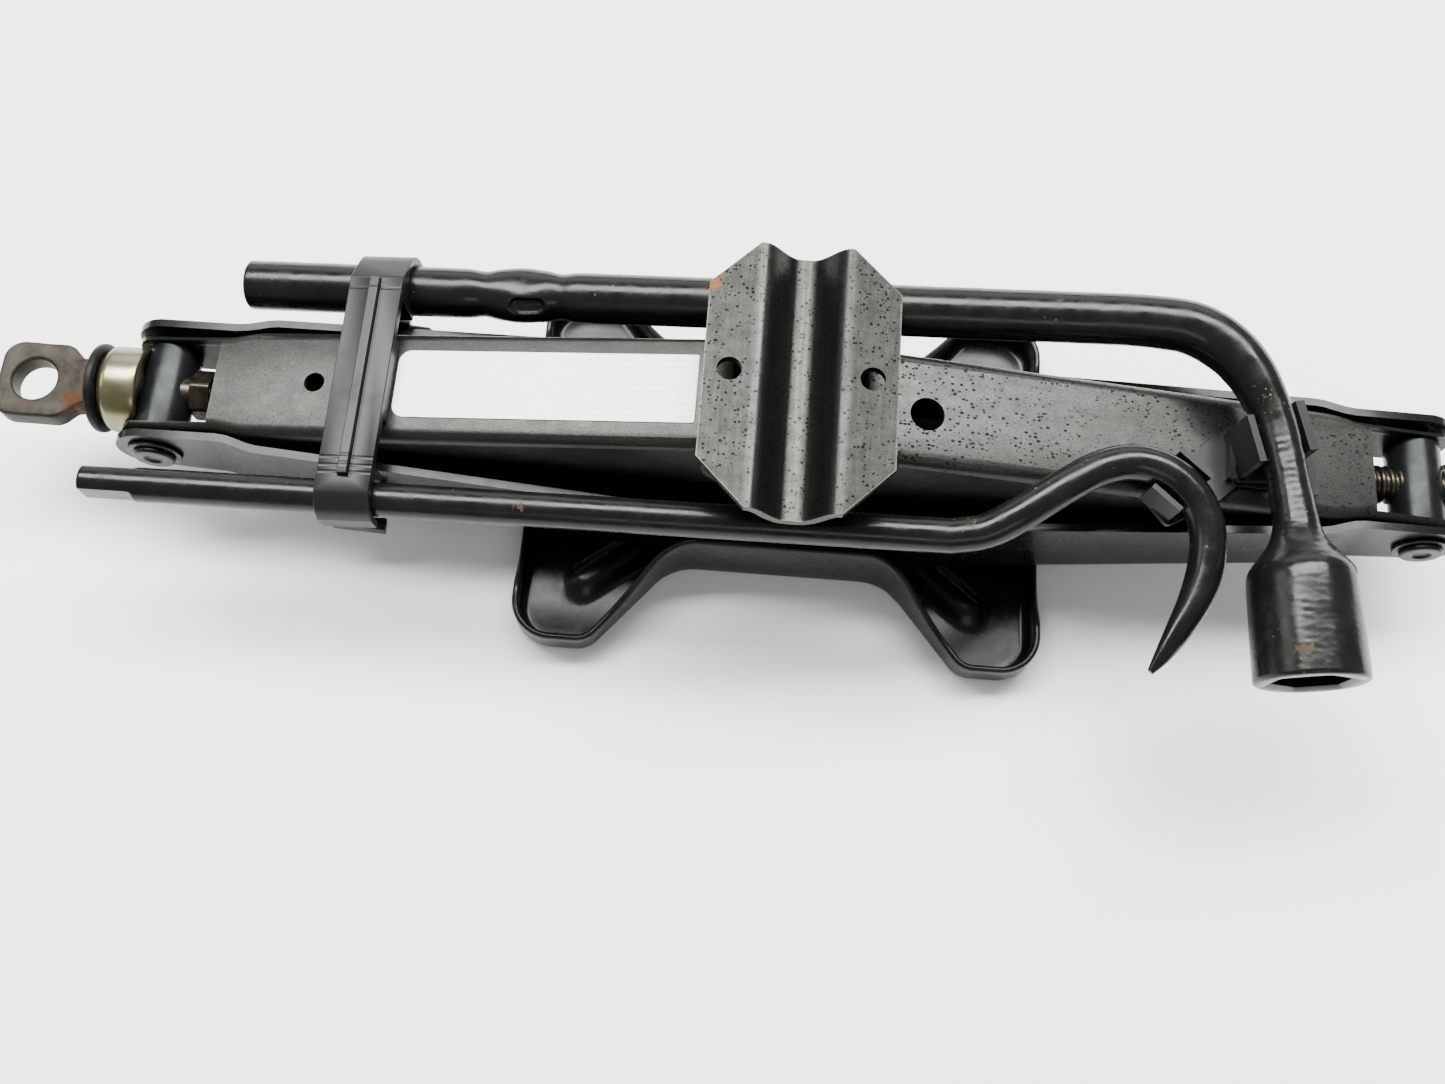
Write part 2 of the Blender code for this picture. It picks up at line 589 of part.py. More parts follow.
def build_screw():
    z = TRUNNION_Z
    ends = (-230.0, 219.5)
    screw = [(0, ends[1]), (SCREW_RADIUS - 1.2, ends[1]), (SCREW_RADIUS, ends[1] - 1.4),
             (SCREW_RADIUS, ends[0]), (0, ends[0])]
    turned("lead_screw", screw, oily_steel, "X", (0, 0, z))

    eye = [(-262.0, 4.5), (-262.0, -4.5), (-256.5, -12.5), (-240.0, -12.5), (-234.5, -7.5),
           (-234.5, 7.5), (-240.0, 12.5), (-256.5, 12.5)]
    plate = place("drive_eye", outline_mesh("drive_eye", eye, 8.0, "Z", z), rusty_steel)
    shank = cylinder_mesh("eye_shank", (-237.5, 0, z), (-230.3, 0, z), 6.3)
    boolean(plate, cutter("eye_shank", shank), "UNION")
    hole = cylinder_mesh("eye_hole", (-250, 0, z - 10), (-250, 0, z + 10), 7.25)
    boolean(plate, cutter("eye_hole", hole), "DIFFERENCE")

    bore = SCREW_RADIUS + GAP
    turned("seal_ring", [(14.0, -226.2), (14.0, -229.6), (bore, -229.6), (bore, -226.2)],
           black_rubber, "X", (0, 0, z))
    turned("thrust_washer", [(10.6, -223.9), (10.6, -225.5), (bore, -225.5), (bore, -223.9)],
           oily_steel, "X", (0, 0, z))

    cup = [(13.7, -212.6), (13.7, -225.0), (12.9, -225.7), (11.2, -225.7), (11.2, -219.6), (7.1, -219.6),
           (7.1, -212.6)]
    body = turned("thrust_cup", cup, zinc_steel, "X", (0, 0, z))
    seat = cylinder_mesh("cup_seat", (-HALF_SPAN, -30, z), (-HALF_SPAN, 30, z), BARREL_RADIUS + GAP)
    boolean(body, cutter("cup_seat", seat), "DIFFERENCE")

    balls_x, pitch = -221.75, 9.15
    cage = turned("thrust_balls", [(pitch + 0.9, balls_x + 0.6), (pitch + 0.9, balls_x - 0.6),
                                   (pitch - 0.9, balls_x - 0.6), (pitch - 0.9, balls_x + 0.6)],
                  oily_steel, "X", (0, 0, z))
    bm = bmesh.new()
    count = 9
    for k in range(count):
        angle = 2 * math.pi * (k + 0.5) / count
        at = Vector((balls_x, pitch * math.cos(angle), z + pitch * math.sin(angle)))
        bmesh.ops.create_uvsphere(bm, u_segments=6, v_segments=4, radius=1.75 * MM,
                                  matrix=Matrix.Translation(at * MM))
    boolean(cage, cutter("balls", finish_mesh(bm, "balls")), "UNION")

    turned("stop_collar", [(8.4, -190.8), (8.4, -197.6), (bore, -197.6), (bore, -190.8)],
           oily_steel, "X", (0, 0, z))
    turned("end_clip", [(8.6, 217.9), (8.6, 216.2), (bore, 216.2), (bore, 217.9)],
           oily_steel, "X", (0, 0, z))


# ---------------------------------------------------------------- loose tools

def build_wrench():
    bend = [(*TUBE_START, TUBE_RADIUS), (*TUBE_START.lerp(TUBE_END, 0.5), TUBE_RADIUS),
            (*TUBE_END, TUBE_RADIUS), (113.5, 34.4, 78.1, 7.7), (127.0, 31.5, 78.2, 7.9),
            (137.6, 24.5, 77.9, 7.7), (144.0, 13.5, 77.4, 6.9), (147.4, 5.0, 77.0, NECK_RADIUS),
            (149.6, -4.0, 76.4, NECK_RADIUS), (151.8, -18.0, 75.6, NECK_RADIUS),
            (153.4, -30.0, 74.8, 6.7)]
    route = smooth_route(bend[2:], 4)
    points = [bend[0], bend[1]] + [tuple(point) for point in route]
    down = (SOCKET_MOUTH - Vector(points[-1][:3])).normalized()
    last = Vector(points[-1][:3])
    for distance, radius in ((5.0, 8.4), (9.0, 11.4), (13.0, 14.6), (17.0, 15.9), (30.0, 16.3)):
        points.append((*(last + down * distance), radius))
    points.append((*(SOCKET_MOUTH - down * 0.8), 16.4))
    points.append((*SOCKET_MOUTH, 15.6))
    mesh = round_bar_mesh("lug_wrench", [p[:3] for p in points], 10.0, [p[3] for p in points], 6)
    wrench = place("lug_wrench", mesh, gloss_black)
    bm = bmesh.new()
    add_cylinder(bm, SOCKET_MOUTH - down * 19.0, SOCKET_MOUTH + down * 4.0, 21.0 / math.sqrt(3), 6)
    boolean(wrench, cutter("wrench_hex", finish_mesh(bm, "wrench_hex")), "DIFFERENCE")
    smooth(wrench.data)


def build_handle():
    bends = [(*ROD_END, ROD_RADIUS), (60.0, -37.0, 69.0, ROD_RADIUS), (70.0, -31.8, 72.2, ROD_RADIUS),
             (83.0, -22.8, 75.2, ROD_RADIUS), (94.5, -15.8, 75.8, ROD_RADIUS),
             (105.5, -13.1, 75.4, ROD_RADIUS), (116.0, -15.9, 74.8, ROD_RADIUS),
             (123.6, -22.9, 73.6, ROD_RADIUS), (127.2, -32.0, 72.0, ROD_RADIUS),
             (127.3, -42.0, 70.0, ROD_RADIUS), (124.7, -52.0, 68.0, 5.1), (120.2, -61.5, 66.2, 3.9),
             (115.2, -70.0, 65.0, 2.4), (111.0, -76.2, 64.2, 0.8)]
    points = [(*ROD_START, ROD_RADIUS - 0.8), (*(ROD_START + Vector((1.0, 0, 0.04))), ROD_RADIUS)]
    points += [tuple(point) for point in smooth_route(bends, 3)]
    mesh = round_bar_mesh("hook_handle", [p[:3] for p in points], 10.0, [p[3] for p in points], 4)
    handle = place("hook_handle", mesh, gloss_black)
    bm = bmesh.new()
    for sign in (-1, 1):
        low, high = sorted((sign * 3.9, sign * 9.0))
        add_box(bm, (-230, ROD_START.y + low, 45), (-204.0, ROD_START.y + high, 70))
    boolean(handle, cutter("handle_flats", finish_mesh(bm, "handle_flats")), "DIFFERENCE")
    smooth(handle.data)


# ---------------------------------------------------------------- strap, keeper, bracket, label

def tube_point(x):
    """Point of the wrench tube's axis at x."""
    return TUBE_START.lerp(TUBE_END, (x - TUBE_START.x) / (TUBE_END.x - TUBE_START.x))


def rod_point(x):
    return ROD_START.lerp(ROD_END, (x - ROD_START.x) / (ROD_END.x - ROD_START.x))


def build_strap():
    tube, rod = tube_point(STRAP_X), rod_point(STRAP_X)
    beam_low = rod.z + ROD_RADIUS + 0.4
    beam_high = beam_low + 3.2
    tube_in, rod_in = TUBE_RADIUS + 0.45, ROD_RADIUS + 0.45
    tube_z, rod_z = tube.z + 0.4, rod.z + 0.5
    wall = 2.3
    outline = [(tube.y + tube_in, tube_z - 4.5), (tube.y + tube_in + wall, tube_z - 4.5)]
    outline += arc((tube.y, tube_z), tube_in + wall, 10, 62, 4)
    outline += [(tube.y - 3.0, beam_high), (-rod_in + rod.y + 5.0, beam_high)]
    outline += arc((rod.y, rod_z), rod_in + wall, 105, 172, 4)
    outline += [(rod.y - rod_in - wall, rod_z - 4.5), (rod.y - rod_in, rod_z - 4.5)]
    outline += arc((rod.y, rod_z), rod_in, 180, 0, 10)
    outline += [(rod.y + rod_in, rod_z - 1.5), (rod.y + rod_in + wall, rod_z - 1.5),
                (rod.y + rod_in + wall, beam_low)]
    arm_top = SADDLE_PIVOT_Z - (abs(STRAP_X) - PIVOT_OFFSET) * math.tan(REST_ANGLE) \
        + UPPER["web"] / math.cos(REST_ANGLE)
    outline += [(-14.0, beam_low + 0.2), (-14.0, arm_top + 0.6), (14.0, arm_top + 0.6), (14.0, beam_low + 0.2)]
    outline += [(tube.y - tube_in - wall, beam_low), (tube.y - tube_in - wall, tube_z - 1.0),
                (tube.y - tube_in, tube_z - 1.0)]
    outline += arc((tube.y, tube_z), tube_in, 180, 0, 12)[1:]
    local = [(y, z - beam_low) for y, z in outline]
    matrix = Matrix.Translation((STRAP_X * MM, 0, beam_low * MM)) @ Matrix.Rotation(-STRAP_TILT, 4, "Y")
    strap = place("strap", outline_mesh("strap", local, STRAP_WIDTH, "X"), black_plastic, matrix)
    rib = box_mesh("strap_rib", (-1.6, rod.y + 4, 1.6), (1.6, tube.y - 4, 5.4))
    boolean(strap, cutter("strap_rib", rib, matrix), "UNION")


def build_keeper():
    matrix = arm_matrix(-1, BASE_PIVOT_Z, True)
    reach = half_width(LOWER, KEEPER_U - STRAP_WIDTH / 2) + 0.4
    wall = 2.2
    bottom = -LOWER["web"] - 0.4
    hinge = (reach + 4.1, 8.4)
    outline = [(-reach - wall, bottom - wall), (reach + wall, bottom - wall), (reach + wall, hinge[1] - 3.4)]
    outline += arc(hinge, 3.9, -60, 180, 12)
    outline += [(reach, bottom), (-reach, bottom), (-reach, 9.0), (-reach - wall, 9.0)]
    keeper = place("strap_keeper", outline_mesh("strap_keeper", outline, STRAP_WIDTH, "X", -KEEPER_U),
                   black_plastic, matrix)
    bm = bmesh.new()
    half = STRAP_WIDTH / 2
    bar_out = -reach - wall - 6.4
    add_box(bm, (-KEEPER_U - half, bar_out, -16.2), (-KEEPER_U + half, bar_out + 4.2, -12.2))
    boolean(keeper, cutter("keeper_bar", finish_mesh(bm, "keeper_bar"), matrix), "UNION")
    for sign, end in ((-1, "left"), (1, "right")):
        middle = -KEEPER_U + sign * (half - 1.6)
        low, high = (middle - 1.0, bar_out + 3.0, -15.8), (middle + 1.0, -reach - 1.0, -14.2)
        strut = box_mesh("keeper_strut", low, high)
        boolean(keeper, cutter("keeper_%s_strut" % end, strut, matrix), "UNION")
    bore = cylinder_mesh("keeper_bore", (-KEEPER_U - 20, *hinge), (-KEEPER_U + 20, *hinge), 2.6, 24)
    boolean(keeper, cutter("keeper_bore", bore, matrix), "DIFFERENCE")

    pin = turned("strap_hinge_pin", [(0, 26.0), (1.4, 26.0), (2.3, 25.0), (2.3, 0.8), (1.7, 0), (0, 0)],
                 black_plastic, "X", steps=20)
    start = Matrix.Translation(Vector((-KEEPER_U - half - 1.0, *hinge)) * MM)
    pin.matrix_world = matrix @ start @ pin.matrix_world


def build_bracket():
    matrix = arm_matrix(1, SADDLE_PIVOT_Z, False)
    floor = UPPER["web"] + 0.3
    outline = rounded_outline([(148.0, 8.5, 2.0), (118.5, 5.0, 9.0), (106.0, -8.0, 2.0), (92.0, -21.0, 2.0),
                               (100.0, -30.0, 2.0), (117.0, -19.5, 4.0), (124.0, -13.0, 2.0),
                               (152.0, -13.0, 2.0)], 4)
    bracket = place("tool_bracket", outline_mesh("tool_bracket", outline, 1.3, "Z", floor + 0.65),
                    black_plastic, matrix)

    neck = (130.3, 0.0)
    gap = NECK_RADIUS + 0.65
    slant = 13.5
    hook = Vector((101.2, -17.8))
    hook_gap = ROD_RADIUS + 0.9
    hook_slant = -38.0
    pieces = {
        "near_prong": ((neck[0] - gap - 2.7, -9.5, floor + 0.6), (neck[0] - gap - 0.4, 6.0, 28.0), slant, neck),
        "far_prong": ((neck[0] + gap, -8.0, floor + 0.6), (neck[0] + gap + 3.0, 8.5, 29.5), slant, neck),
        "ridge": ((120.4, -12.0, floor + 0.6), (122.4, 5.6, floor + 4.4), -3.0, (121.4, 0)),
        "cradle": ((neck[0] - gap - 2.0, -11.5, floor + 0.6), (neck[0] + gap + 2.0, 6.5, floor + 3.0),
                   slant / 2, neck),
        "outer_tab": ((hook.x - 6.2, hook.y + hook_gap, floor + 0.6),
                      (hook.x + 6.2, hook.y + hook_gap + 1.9, 22.0), hook_slant, hook),
        "inner_tab": ((hook.x - 5.6, hook.y - hook_gap - 2.6, floor + 0.6),
                      (hook.x + 5.6, hook.y - hook_gap - 0.7, 21.0), hook_slant, hook),
    }
    for name, (low, high, turn, pivot) in pieces.items():
        bm = bmesh.new()
        add_box(bm, low, high, turn, (pivot[0], pivot[1], 0))
        boolean(bracket, cutter("bracket_" + name, finish_mesh(bm, name), matrix), "UNION")


def build_label():
    matrix = arm_matrix(-1, SADDLE_PIVOT_Z, False)
    outline = rounded_outline([(-14.0, 11.6, 0.5), (-110.8, 11.6, 4.0), (-110.8, -11.6, 4.0),
                               (-14.0, -11.6, 0.5)], 5)
    place("label", outline_mesh("label", outline, 0.25, "Z", UPPER["web"] + 0.3), white_film, matrix)


# ---------------------------------------------------------------- build

clear_scene()
jack = new_collection("car_jack")
cutters = new_collection("cutters")

black_steel = make_material("black_steel", (0.035, 0.036, 0.037), 0.38, 0.6)
worn_steel = make_material("worn_steel", (0.16, 0.165, 0.165), 0.42, 0.7)
pin_steel = make_material("pin_steel", (0.06, 0.06, 0.062), 0.4, 0.8)
gloss_black = make_material("gloss_black", (0.02, 0.02, 0.021), 0.25, 0.3)
oily_steel = make_material("oily_steel", (0.14, 0.12, 0.1), 0.35, 0.9)
rusty_steel = make_material("rusty_steel", (0.2, 0.12, 0.08), 0.75, 0.4)
zinc_steel = make_material("zinc_steel", (0.45, 0.42, 0.28), 0.35, 0.9)
black_rubber = make_material("black_rubber", (0.02, 0.02, 0.02), 0.6, 0.0)
black_plastic = make_material("black_plastic", (0.07, 0.072, 0.075), 0.45, 0.0)
white_film = make_material("white_film", (0.85, 0.85, 0.85), 0.45, 0.0)

build_base()
build_arms()
build_saddle()
build_trunnions()
build_screw()
build_wrench()
build_handle()
build_strap()
build_keeper()
build_bracket()
build_label()
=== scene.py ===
import math

import bmesh
import bpy
import numpy as np
from mathutils import Matrix, Vector


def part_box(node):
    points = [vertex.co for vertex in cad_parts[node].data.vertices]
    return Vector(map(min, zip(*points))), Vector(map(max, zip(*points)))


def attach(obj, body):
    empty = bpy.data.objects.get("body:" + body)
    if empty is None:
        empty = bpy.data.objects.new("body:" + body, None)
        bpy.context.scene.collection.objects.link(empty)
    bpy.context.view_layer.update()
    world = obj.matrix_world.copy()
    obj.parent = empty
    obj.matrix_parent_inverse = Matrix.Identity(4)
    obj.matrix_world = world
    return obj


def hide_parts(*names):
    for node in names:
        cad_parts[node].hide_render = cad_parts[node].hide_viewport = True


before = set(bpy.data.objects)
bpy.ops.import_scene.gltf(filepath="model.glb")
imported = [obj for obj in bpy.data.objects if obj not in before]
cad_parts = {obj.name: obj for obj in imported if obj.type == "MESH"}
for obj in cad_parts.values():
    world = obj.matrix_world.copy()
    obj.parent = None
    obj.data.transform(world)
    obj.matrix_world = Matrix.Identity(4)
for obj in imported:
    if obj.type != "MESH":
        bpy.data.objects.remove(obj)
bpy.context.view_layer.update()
mm = 0.001

# mesh helpers


def makeMesh(name, points, quads, caps=()):
    # one mesh from vertex rows, four-sided faces and a few many-sided caps
    corners = [quads.ravel()] + [np.asarray(cap) for cap in caps]
    counts = np.concatenate([np.full(len(quads), 4), [len(cap) for cap in caps]]).astype(np.int32)
    starts = np.concatenate([[0], np.cumsum(counts)[:-1]]).astype(np.int32)
    mesh = bpy.data.meshes.new(name)
    mesh.vertices.add(len(points))
    mesh.vertices.foreach_set("co", (np.asarray(points, np.float32) * mm).ravel())
    mesh.loops.add(int(counts.sum()))
    mesh.loops.foreach_set("vertex_index", np.concatenate(corners).astype(np.int32))
    mesh.polygons.add(len(counts))
    mesh.polygons.foreach_set("loop_start", starts)
    mesh.update(calc_edges=True)
    mesh.validate()
    return mesh


def gridQuads(rows, columns, closeRows=False):
    # face (i, j) joins point (i, j) to its neighbours in both directions
    i = np.arange(rows if closeRows else rows - 1)[:, None]
    j = np.arange(columns)[None, :]
    nextI, nextJ = (i + 1) % rows, (j + 1) % columns
    return np.stack(np.broadcast_arrays(i * columns + j, i * columns + nextJ,
                                        nextI * columns + nextJ, nextI * columns + j), -1).reshape(-1, 4)


def tidyMesh(mesh, sharpAngle=35.0):
    bm = bmesh.new()
    bm.from_mesh(mesh)
    bmesh.ops.remove_doubles(bm, verts=bm.verts, dist=2e-6)
    bmesh.ops.recalc_face_normals(bm, faces=bm.faces)
    bm.to_mesh(mesh)
    bm.free()
    mesh.shade_smooth()
    mesh.set_sharp_from_angle(angle=math.radians(sharpAngle))


def addPiece(name, mesh, body, material, nodes=(), sharpAngle=35.0):
    tidyMesh(mesh, sharpAngle)
    piece = bpy.data.objects.new(name, mesh)
    bpy.context.scene.collection.objects.link(piece)
    mesh.materials.append(material)
    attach(piece, body)
    if nodes:
        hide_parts(*nodes)
    return piece


def gridPiece(name, points, body, material, nodes=(), closeRows=False, sharpAngle=35.0):
    # tube-like surface: points[row, column], columns closed, flat ends unless the rows close too
    rows, columns = points.shape[:2]
    first = np.arange(columns)
    caps = [] if closeRows else [first[::-1], first + (rows - 1) * columns]
    mesh = makeMesh(name, points.reshape(-1, 3), gridQuads(rows, columns, closeRows), caps)
    return addPiece(name, mesh, body, material, nodes, sharpAngle)


def softenEdges(piece, width, segments=2, angle=28.0):
    bevel = piece.modifiers.new("Edges", "BEVEL")
    bevel.width = width * mm
    bevel.segments = segments
    bevel.limit_method = "ANGLE"
    bevel.angle_limit = math.radians(angle)
    bevel.use_clamp_overlap = True
    bevel.harden_normals = True
    return piece


def refineNode(node, body, material, width, segments=2):
    # the CAD piece with merged corners, flat faces made whole and its edges softened
    bm = bmesh.new()
    bm.from_mesh(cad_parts[node].data)
    bmesh.ops.remove_doubles(bm, verts=bm.verts, dist=1e-5)
    bmesh.ops.dissolve_limit(bm, angle_limit=math.radians(0.8), verts=bm.verts, edges=bm.edges)
    mesh = bpy.data.meshes.new(node + "Shape")
    bm.to_mesh(mesh)
    bm.free()
    piece = addPiece(node + "Shape", mesh, body, material, [node], 30.0)
    return softenEdges(piece, width, segments) if width else piece


# curves and profiles


def unit(vector):
    return vector / np.linalg.norm(vector)


def circle(count):
    return 2 * np.pi * np.arange(count) / count


def lengthAlong(points):
    return np.concatenate([[0], np.cumsum(np.linalg.norm(np.diff(points, axis=0), axis=1))])


def splinePath(points, perSpan):
    # Catmull-Rom curve through the points, all its spans at once
    p = np.array(points, float)
    p = np.vstack([2 * p[0] - p[1], p, 2 * p[-1] - p[-2]])
    t = (np.arange(perSpan) / perSpan)[None, :, None]
    a, b, c, d = (p[k:len(p) - 3 + k][:, None, :] for k in range(4))
    square, cube = 2 * a - 5 * b + 4 * c - d, 3 * b - a - 3 * c + d
    curve = (2 * b + (c - a) * t + square * t ** 2 + cube * t ** 3) / 2
    return np.vstack([curve.reshape(-1, p.shape[1]), p[-2]])


def straightRun(start, end, radius, count):
    # rows of x, y, z and radius from start to one step before end
    line = start + (end - start) * np.linspace(0, 1, count)[:-1, None]
    return np.column_stack([line, np.full(len(line), radius)])


def evenPath(path, step):
    # the same line with points at an even distance along it; extra columns are carried along
    length = lengthAlong(path[:, :3])
    even = np.linspace(0, length[-1], max(2, int(round(length[-1] / step)) + 1))
    return np.stack([np.interp(even, length, column) for column in path.T], -1)


def sweepRings(path, radius, up=(0, 0, 1)):
    # point(s, a) = centre(s) + radius(s, a) * (cos a * side(s) + sin a * top(s)), side = tangent x up
    angle = circle(radius.shape[1])[None, :, None]
    tangent = np.gradient(path, axis=0)
    tangent /= np.linalg.norm(tangent, axis=1)[:, None]
    side = np.cross(tangent, np.array(up, float))
    side /= np.linalg.norm(side, axis=1)[:, None]
    top = np.cross(side, tangent)
    spoke = np.cos(angle) * side[:, None, :] + np.sin(angle) * top[:, None, :]
    return path[:, None, :] + radius[:, :, None] * spoke


def ease(low, high, value):
    t = np.clip((value - low) / (high - low), 0, 1)
    return t * t * (3 - 2 * t)


def waves(a, b, seed, low, high, count=14):
    # sum of sine waves with seeded directions and phases, from -1 to 1, as a cheap even roughness
    rng = np.random.default_rng(seed)
    total = 0
    for _ in range(count):
        turn, size = rng.uniform(0, 2 * np.pi), rng.uniform(low, high)
        phase = rng.uniform(0, 2 * np.pi)
        total = total + np.sin(size * (a * np.cos(turn) + b * np.sin(turn)) + phase)
    return total / math.sqrt(count)


def roundProfile(corners, steps=4):
    # open (radius, height) profile with an arc of the given size at each corner
    rows = [np.array(corners[0][:2], float)[None]]
    for before, (x, y, size), after in zip(corners, corners[1:-1], corners[2:]):
        here = np.array((x, y), float)
        if size <= 0:
            rows.append(here[None])
            continue
        back, on = unit(np.array(before[:2]) - here), unit(np.array(after[:2]) - here)
        t = np.linspace(0, 1, steps + 1)[:, None]
        rows.append(here + back * size * (1 - t) ** 2 + on * size * t ** 2)
    rows.append(np.array(corners[-1][:2], float)[None])
    return np.vstack(rows)


def mirrored(corners):
    return corners + [(radius, -height, size) for radius, height, size in reversed(corners)]


def hexagonRadius(flat, angle):
    # distance from the centre to the side of a hexagon whose sides are flat away
    return flat / np.cos((angle + np.pi / 6) % (np.pi / 3) - np.pi / 6)


def latheGrid(profile, axis, center, steps=64):
    # point(t, a) = centre + height(t) along the axis + radius(t) about it
    angle = circle(steps)
    radius, along = np.repeat(profile[:, :1], steps, 1), np.repeat(profile[:, 1:2], steps, 1)
    first, second = radius * np.cos(angle), radius * np.sin(angle)
    order = {"X": (along, first, second), "Y": (first, along, second), "Z": (first, second, along)}
    return np.stack(order[axis], -1) + np.array(center, float)


def turnedPiece(name, corners, axis, center, body, material, nodes, steps=64, closed=False):
    profile = roundProfile(corners + corners[:1] if closed else corners)
    if closed:
        profile = profile[:-1]
    points = latheGrid(profile, axis, center, steps)
    return gridPiece(name, points, body, material, nodes, closed, 38.0)


# materials


def newGroup(name, inputs, outputs):
    group = bpy.data.node_groups.new(name, "ShaderNodeTree")
    for label, kind, value in inputs:
        socket = group.interface.new_socket(name=label, in_out="INPUT", socket_type=kind)
        socket.default_value = value
    for label, kind in outputs:
        group.interface.new_socket(name=label, in_out="OUTPUT", socket_type=kind)
    return group, group.nodes.new("NodeGroupInput"), group.nodes.new("NodeGroupOutput")


def node(tree, kind, settings=None, **values):
    made = tree.nodes.new(kind)
    for key, value in (settings or {}).items():
        setattr(made, key, value)
    for key, value in values.items():
        made.inputs[int(key[1:]) if key[0] == "i" and key[1:].isdigit() else key].default_value = value
    return made


def mathNode(tree, operation, first, second=None, third=None):
    made = node(tree, "ShaderNodeMath", {"operation": operation})
    for k, value in enumerate((first, second, third)):
        if isinstance(value, bpy.types.NodeSocket):
            tree.links.new(value, made.inputs[k])
        elif value is not None:
            made.inputs[k].default_value = value
    return made.outputs[0]


def remap(tree, value, low, high, start=0.0, end=1.0):
    made = node(tree, "ShaderNodeMapRange", {"interpolation_type": "SMOOTHSTEP"},
                i1=low, i2=high, i3=start, i4=end)
    tree.links.new(value, made.inputs[0])
    return made.outputs[0]


def mixColors(tree, factor, first, second):
    made = node(tree, "ShaderNodeMix", {"data_type": "RGBA"})
    for socket, value in ((made.inputs[0], factor), (made.inputs[6], first), (made.inputs[7], second)):
        if isinstance(value, bpy.types.NodeSocket):
            tree.links.new(value, socket)
        elif isinstance(value, (int, float)):
            socket.default_value = value
        else:
            socket.default_value = (*value, 1.0)
    return made.outputs[2]


def splitXYZ(tree, vector):
    made = node(tree, "ShaderNodeSeparateXYZ")
    tree.links.new(vector, made.inputs[0])
    return made.outputs


def scaleColor(tree, color, factor):
    made = node(tree, "ShaderNodeVectorMath", {"operation": "SCALE"})
    tree.links.new(color, made.inputs[0])
    tree.links.new(factor, made.inputs["Scale"])
    return made.outputs[0]


def noiseNode(tree, vector, scale, detail=3.0, rough=0.55):
    made = node(tree, "ShaderNodeTexNoise", None, Scale=scale, Detail=detail, Roughness=rough)
    tree.links.new(vector, made.inputs["Vector"])
    return made.outputs["Fac"]


def makeSpeckGroup():
    # tiny spots: the near part of random cells, kept only where a broad noise is high
    inputs = [("Vector", "NodeSocketVector", (0, 0, 0)), ("Scale", "NodeSocketFloat", 500.0),
              ("Size", "NodeSocketFloat", 0.22), ("Share", "NodeSocketFloat", 0.5)]
    group, start, end = newGroup("specks", inputs, [("Mask", "NodeSocketFloat")])
    cells = node(group, "ShaderNodeTexVoronoi", {"feature": "F1"})
    group.links.new(start.outputs["Vector"], cells.inputs["Vector"])
    group.links.new(start.outputs["Scale"], cells.inputs["Scale"])
    split = node(group, "ShaderNodeSeparateColor")
    group.links.new(cells.outputs["Color"], split.inputs[0])
    chosen = mathNode(group, "LESS_THAN", split.outputs[0], start.outputs["Share"])
    reach = mathNode(group, "MULTIPLY", start.outputs["Size"], mathNode(group, "ADD", split.outputs[1], 0.4))
    near = mathNode(group, "SUBTRACT", reach, cells.outputs["Distance"])
    dot = remap(group, near, 0.0, 0.06)
    group.links.new(mathNode(group, "MULTIPLY", dot, chosen), end.inputs[0])
    return group


def makePatchGroup():
    # soft patches with a broken edge: two noises over a threshold
    inputs = [("Vector", "NodeSocketVector", (0, 0, 0)), ("Scale", "NodeSocketFloat", 40.0),
              ("Level", "NodeSocketFloat", 0.6), ("Softness", "NodeSocketFloat", 0.08)]
    group, start, end = newGroup("patches", inputs, [("Mask", "NodeSocketFloat")])
    broad = node(group, "ShaderNodeTexNoise", None, Detail=2.0, Roughness=0.5)
    fine = node(group, "ShaderNodeTexNoise", None, Detail=4.0, Roughness=0.65)
    for texture, factor in ((broad, 1.0), (fine, 7.0)):
        group.links.new(start.outputs["Vector"], texture.inputs["Vector"])
        group.links.new(mathNode(group, "MULTIPLY", start.outputs["Scale"], factor), texture.inputs["Scale"])
    both = mathNode(group, "MULTIPLY_ADD", fine.outputs["Fac"], 0.35,
                    mathNode(group, "MULTIPLY", broad.outputs["Fac"], 0.65))
    top = mathNode(group, "ADD", start.outputs["Level"], start.outputs["Softness"])
    shift = node(group, "ShaderNodeMapRange", {"interpolation_type": "SMOOTHSTEP"})
    group.links.new(both, shift.inputs[0])
    group.links.new(start.outputs["Level"], shift.inputs[1])
    group.links.new(top, shift.inputs[2])
    group.links.new(shift.outputs[0], end.inputs[0])
    return group


speckGroup = makeSpeckGroup()
patchGroup = makePatchGroup()


def useGroup(tree, group, vector, **values):
    made = node(tree, "ShaderNodeGroup", {"node_tree": group}, **values)
    tree.links.new(vector, made.inputs["Vector"])
    return made.outputs[0]


def newMaterial(name, metallic=0.0, roughness=0.4, specular=0.5, stretch=(1, 1, 1)):
    material = bpy.data.materials.new(name)
    material.use_nodes = True
    tree = material.node_tree
    shader = tree.nodes["Principled BSDF"]
    shader.inputs["Metallic"].default_value = metallic
    shader.inputs["Roughness"].default_value = roughness
    shader.inputs["Specular IOR Level"].default_value = specular
    shader.inputs["Specular Tint"].default_value = (0.95, 1.0, 0.94, 1.0)
    place = node(tree, "ShaderNodeTexCoord").outputs["Object"]
    mapping = node(tree, "ShaderNodeMapping", None, Scale=stretch)
    tree.links.new(place, mapping.inputs["Vector"])
    return material, tree, shader, mapping.outputs[0]


def placeOf(tree):
    return next(n for n in tree.nodes if n.bl_idname == "ShaderNodeTexCoord").outputs["Object"]


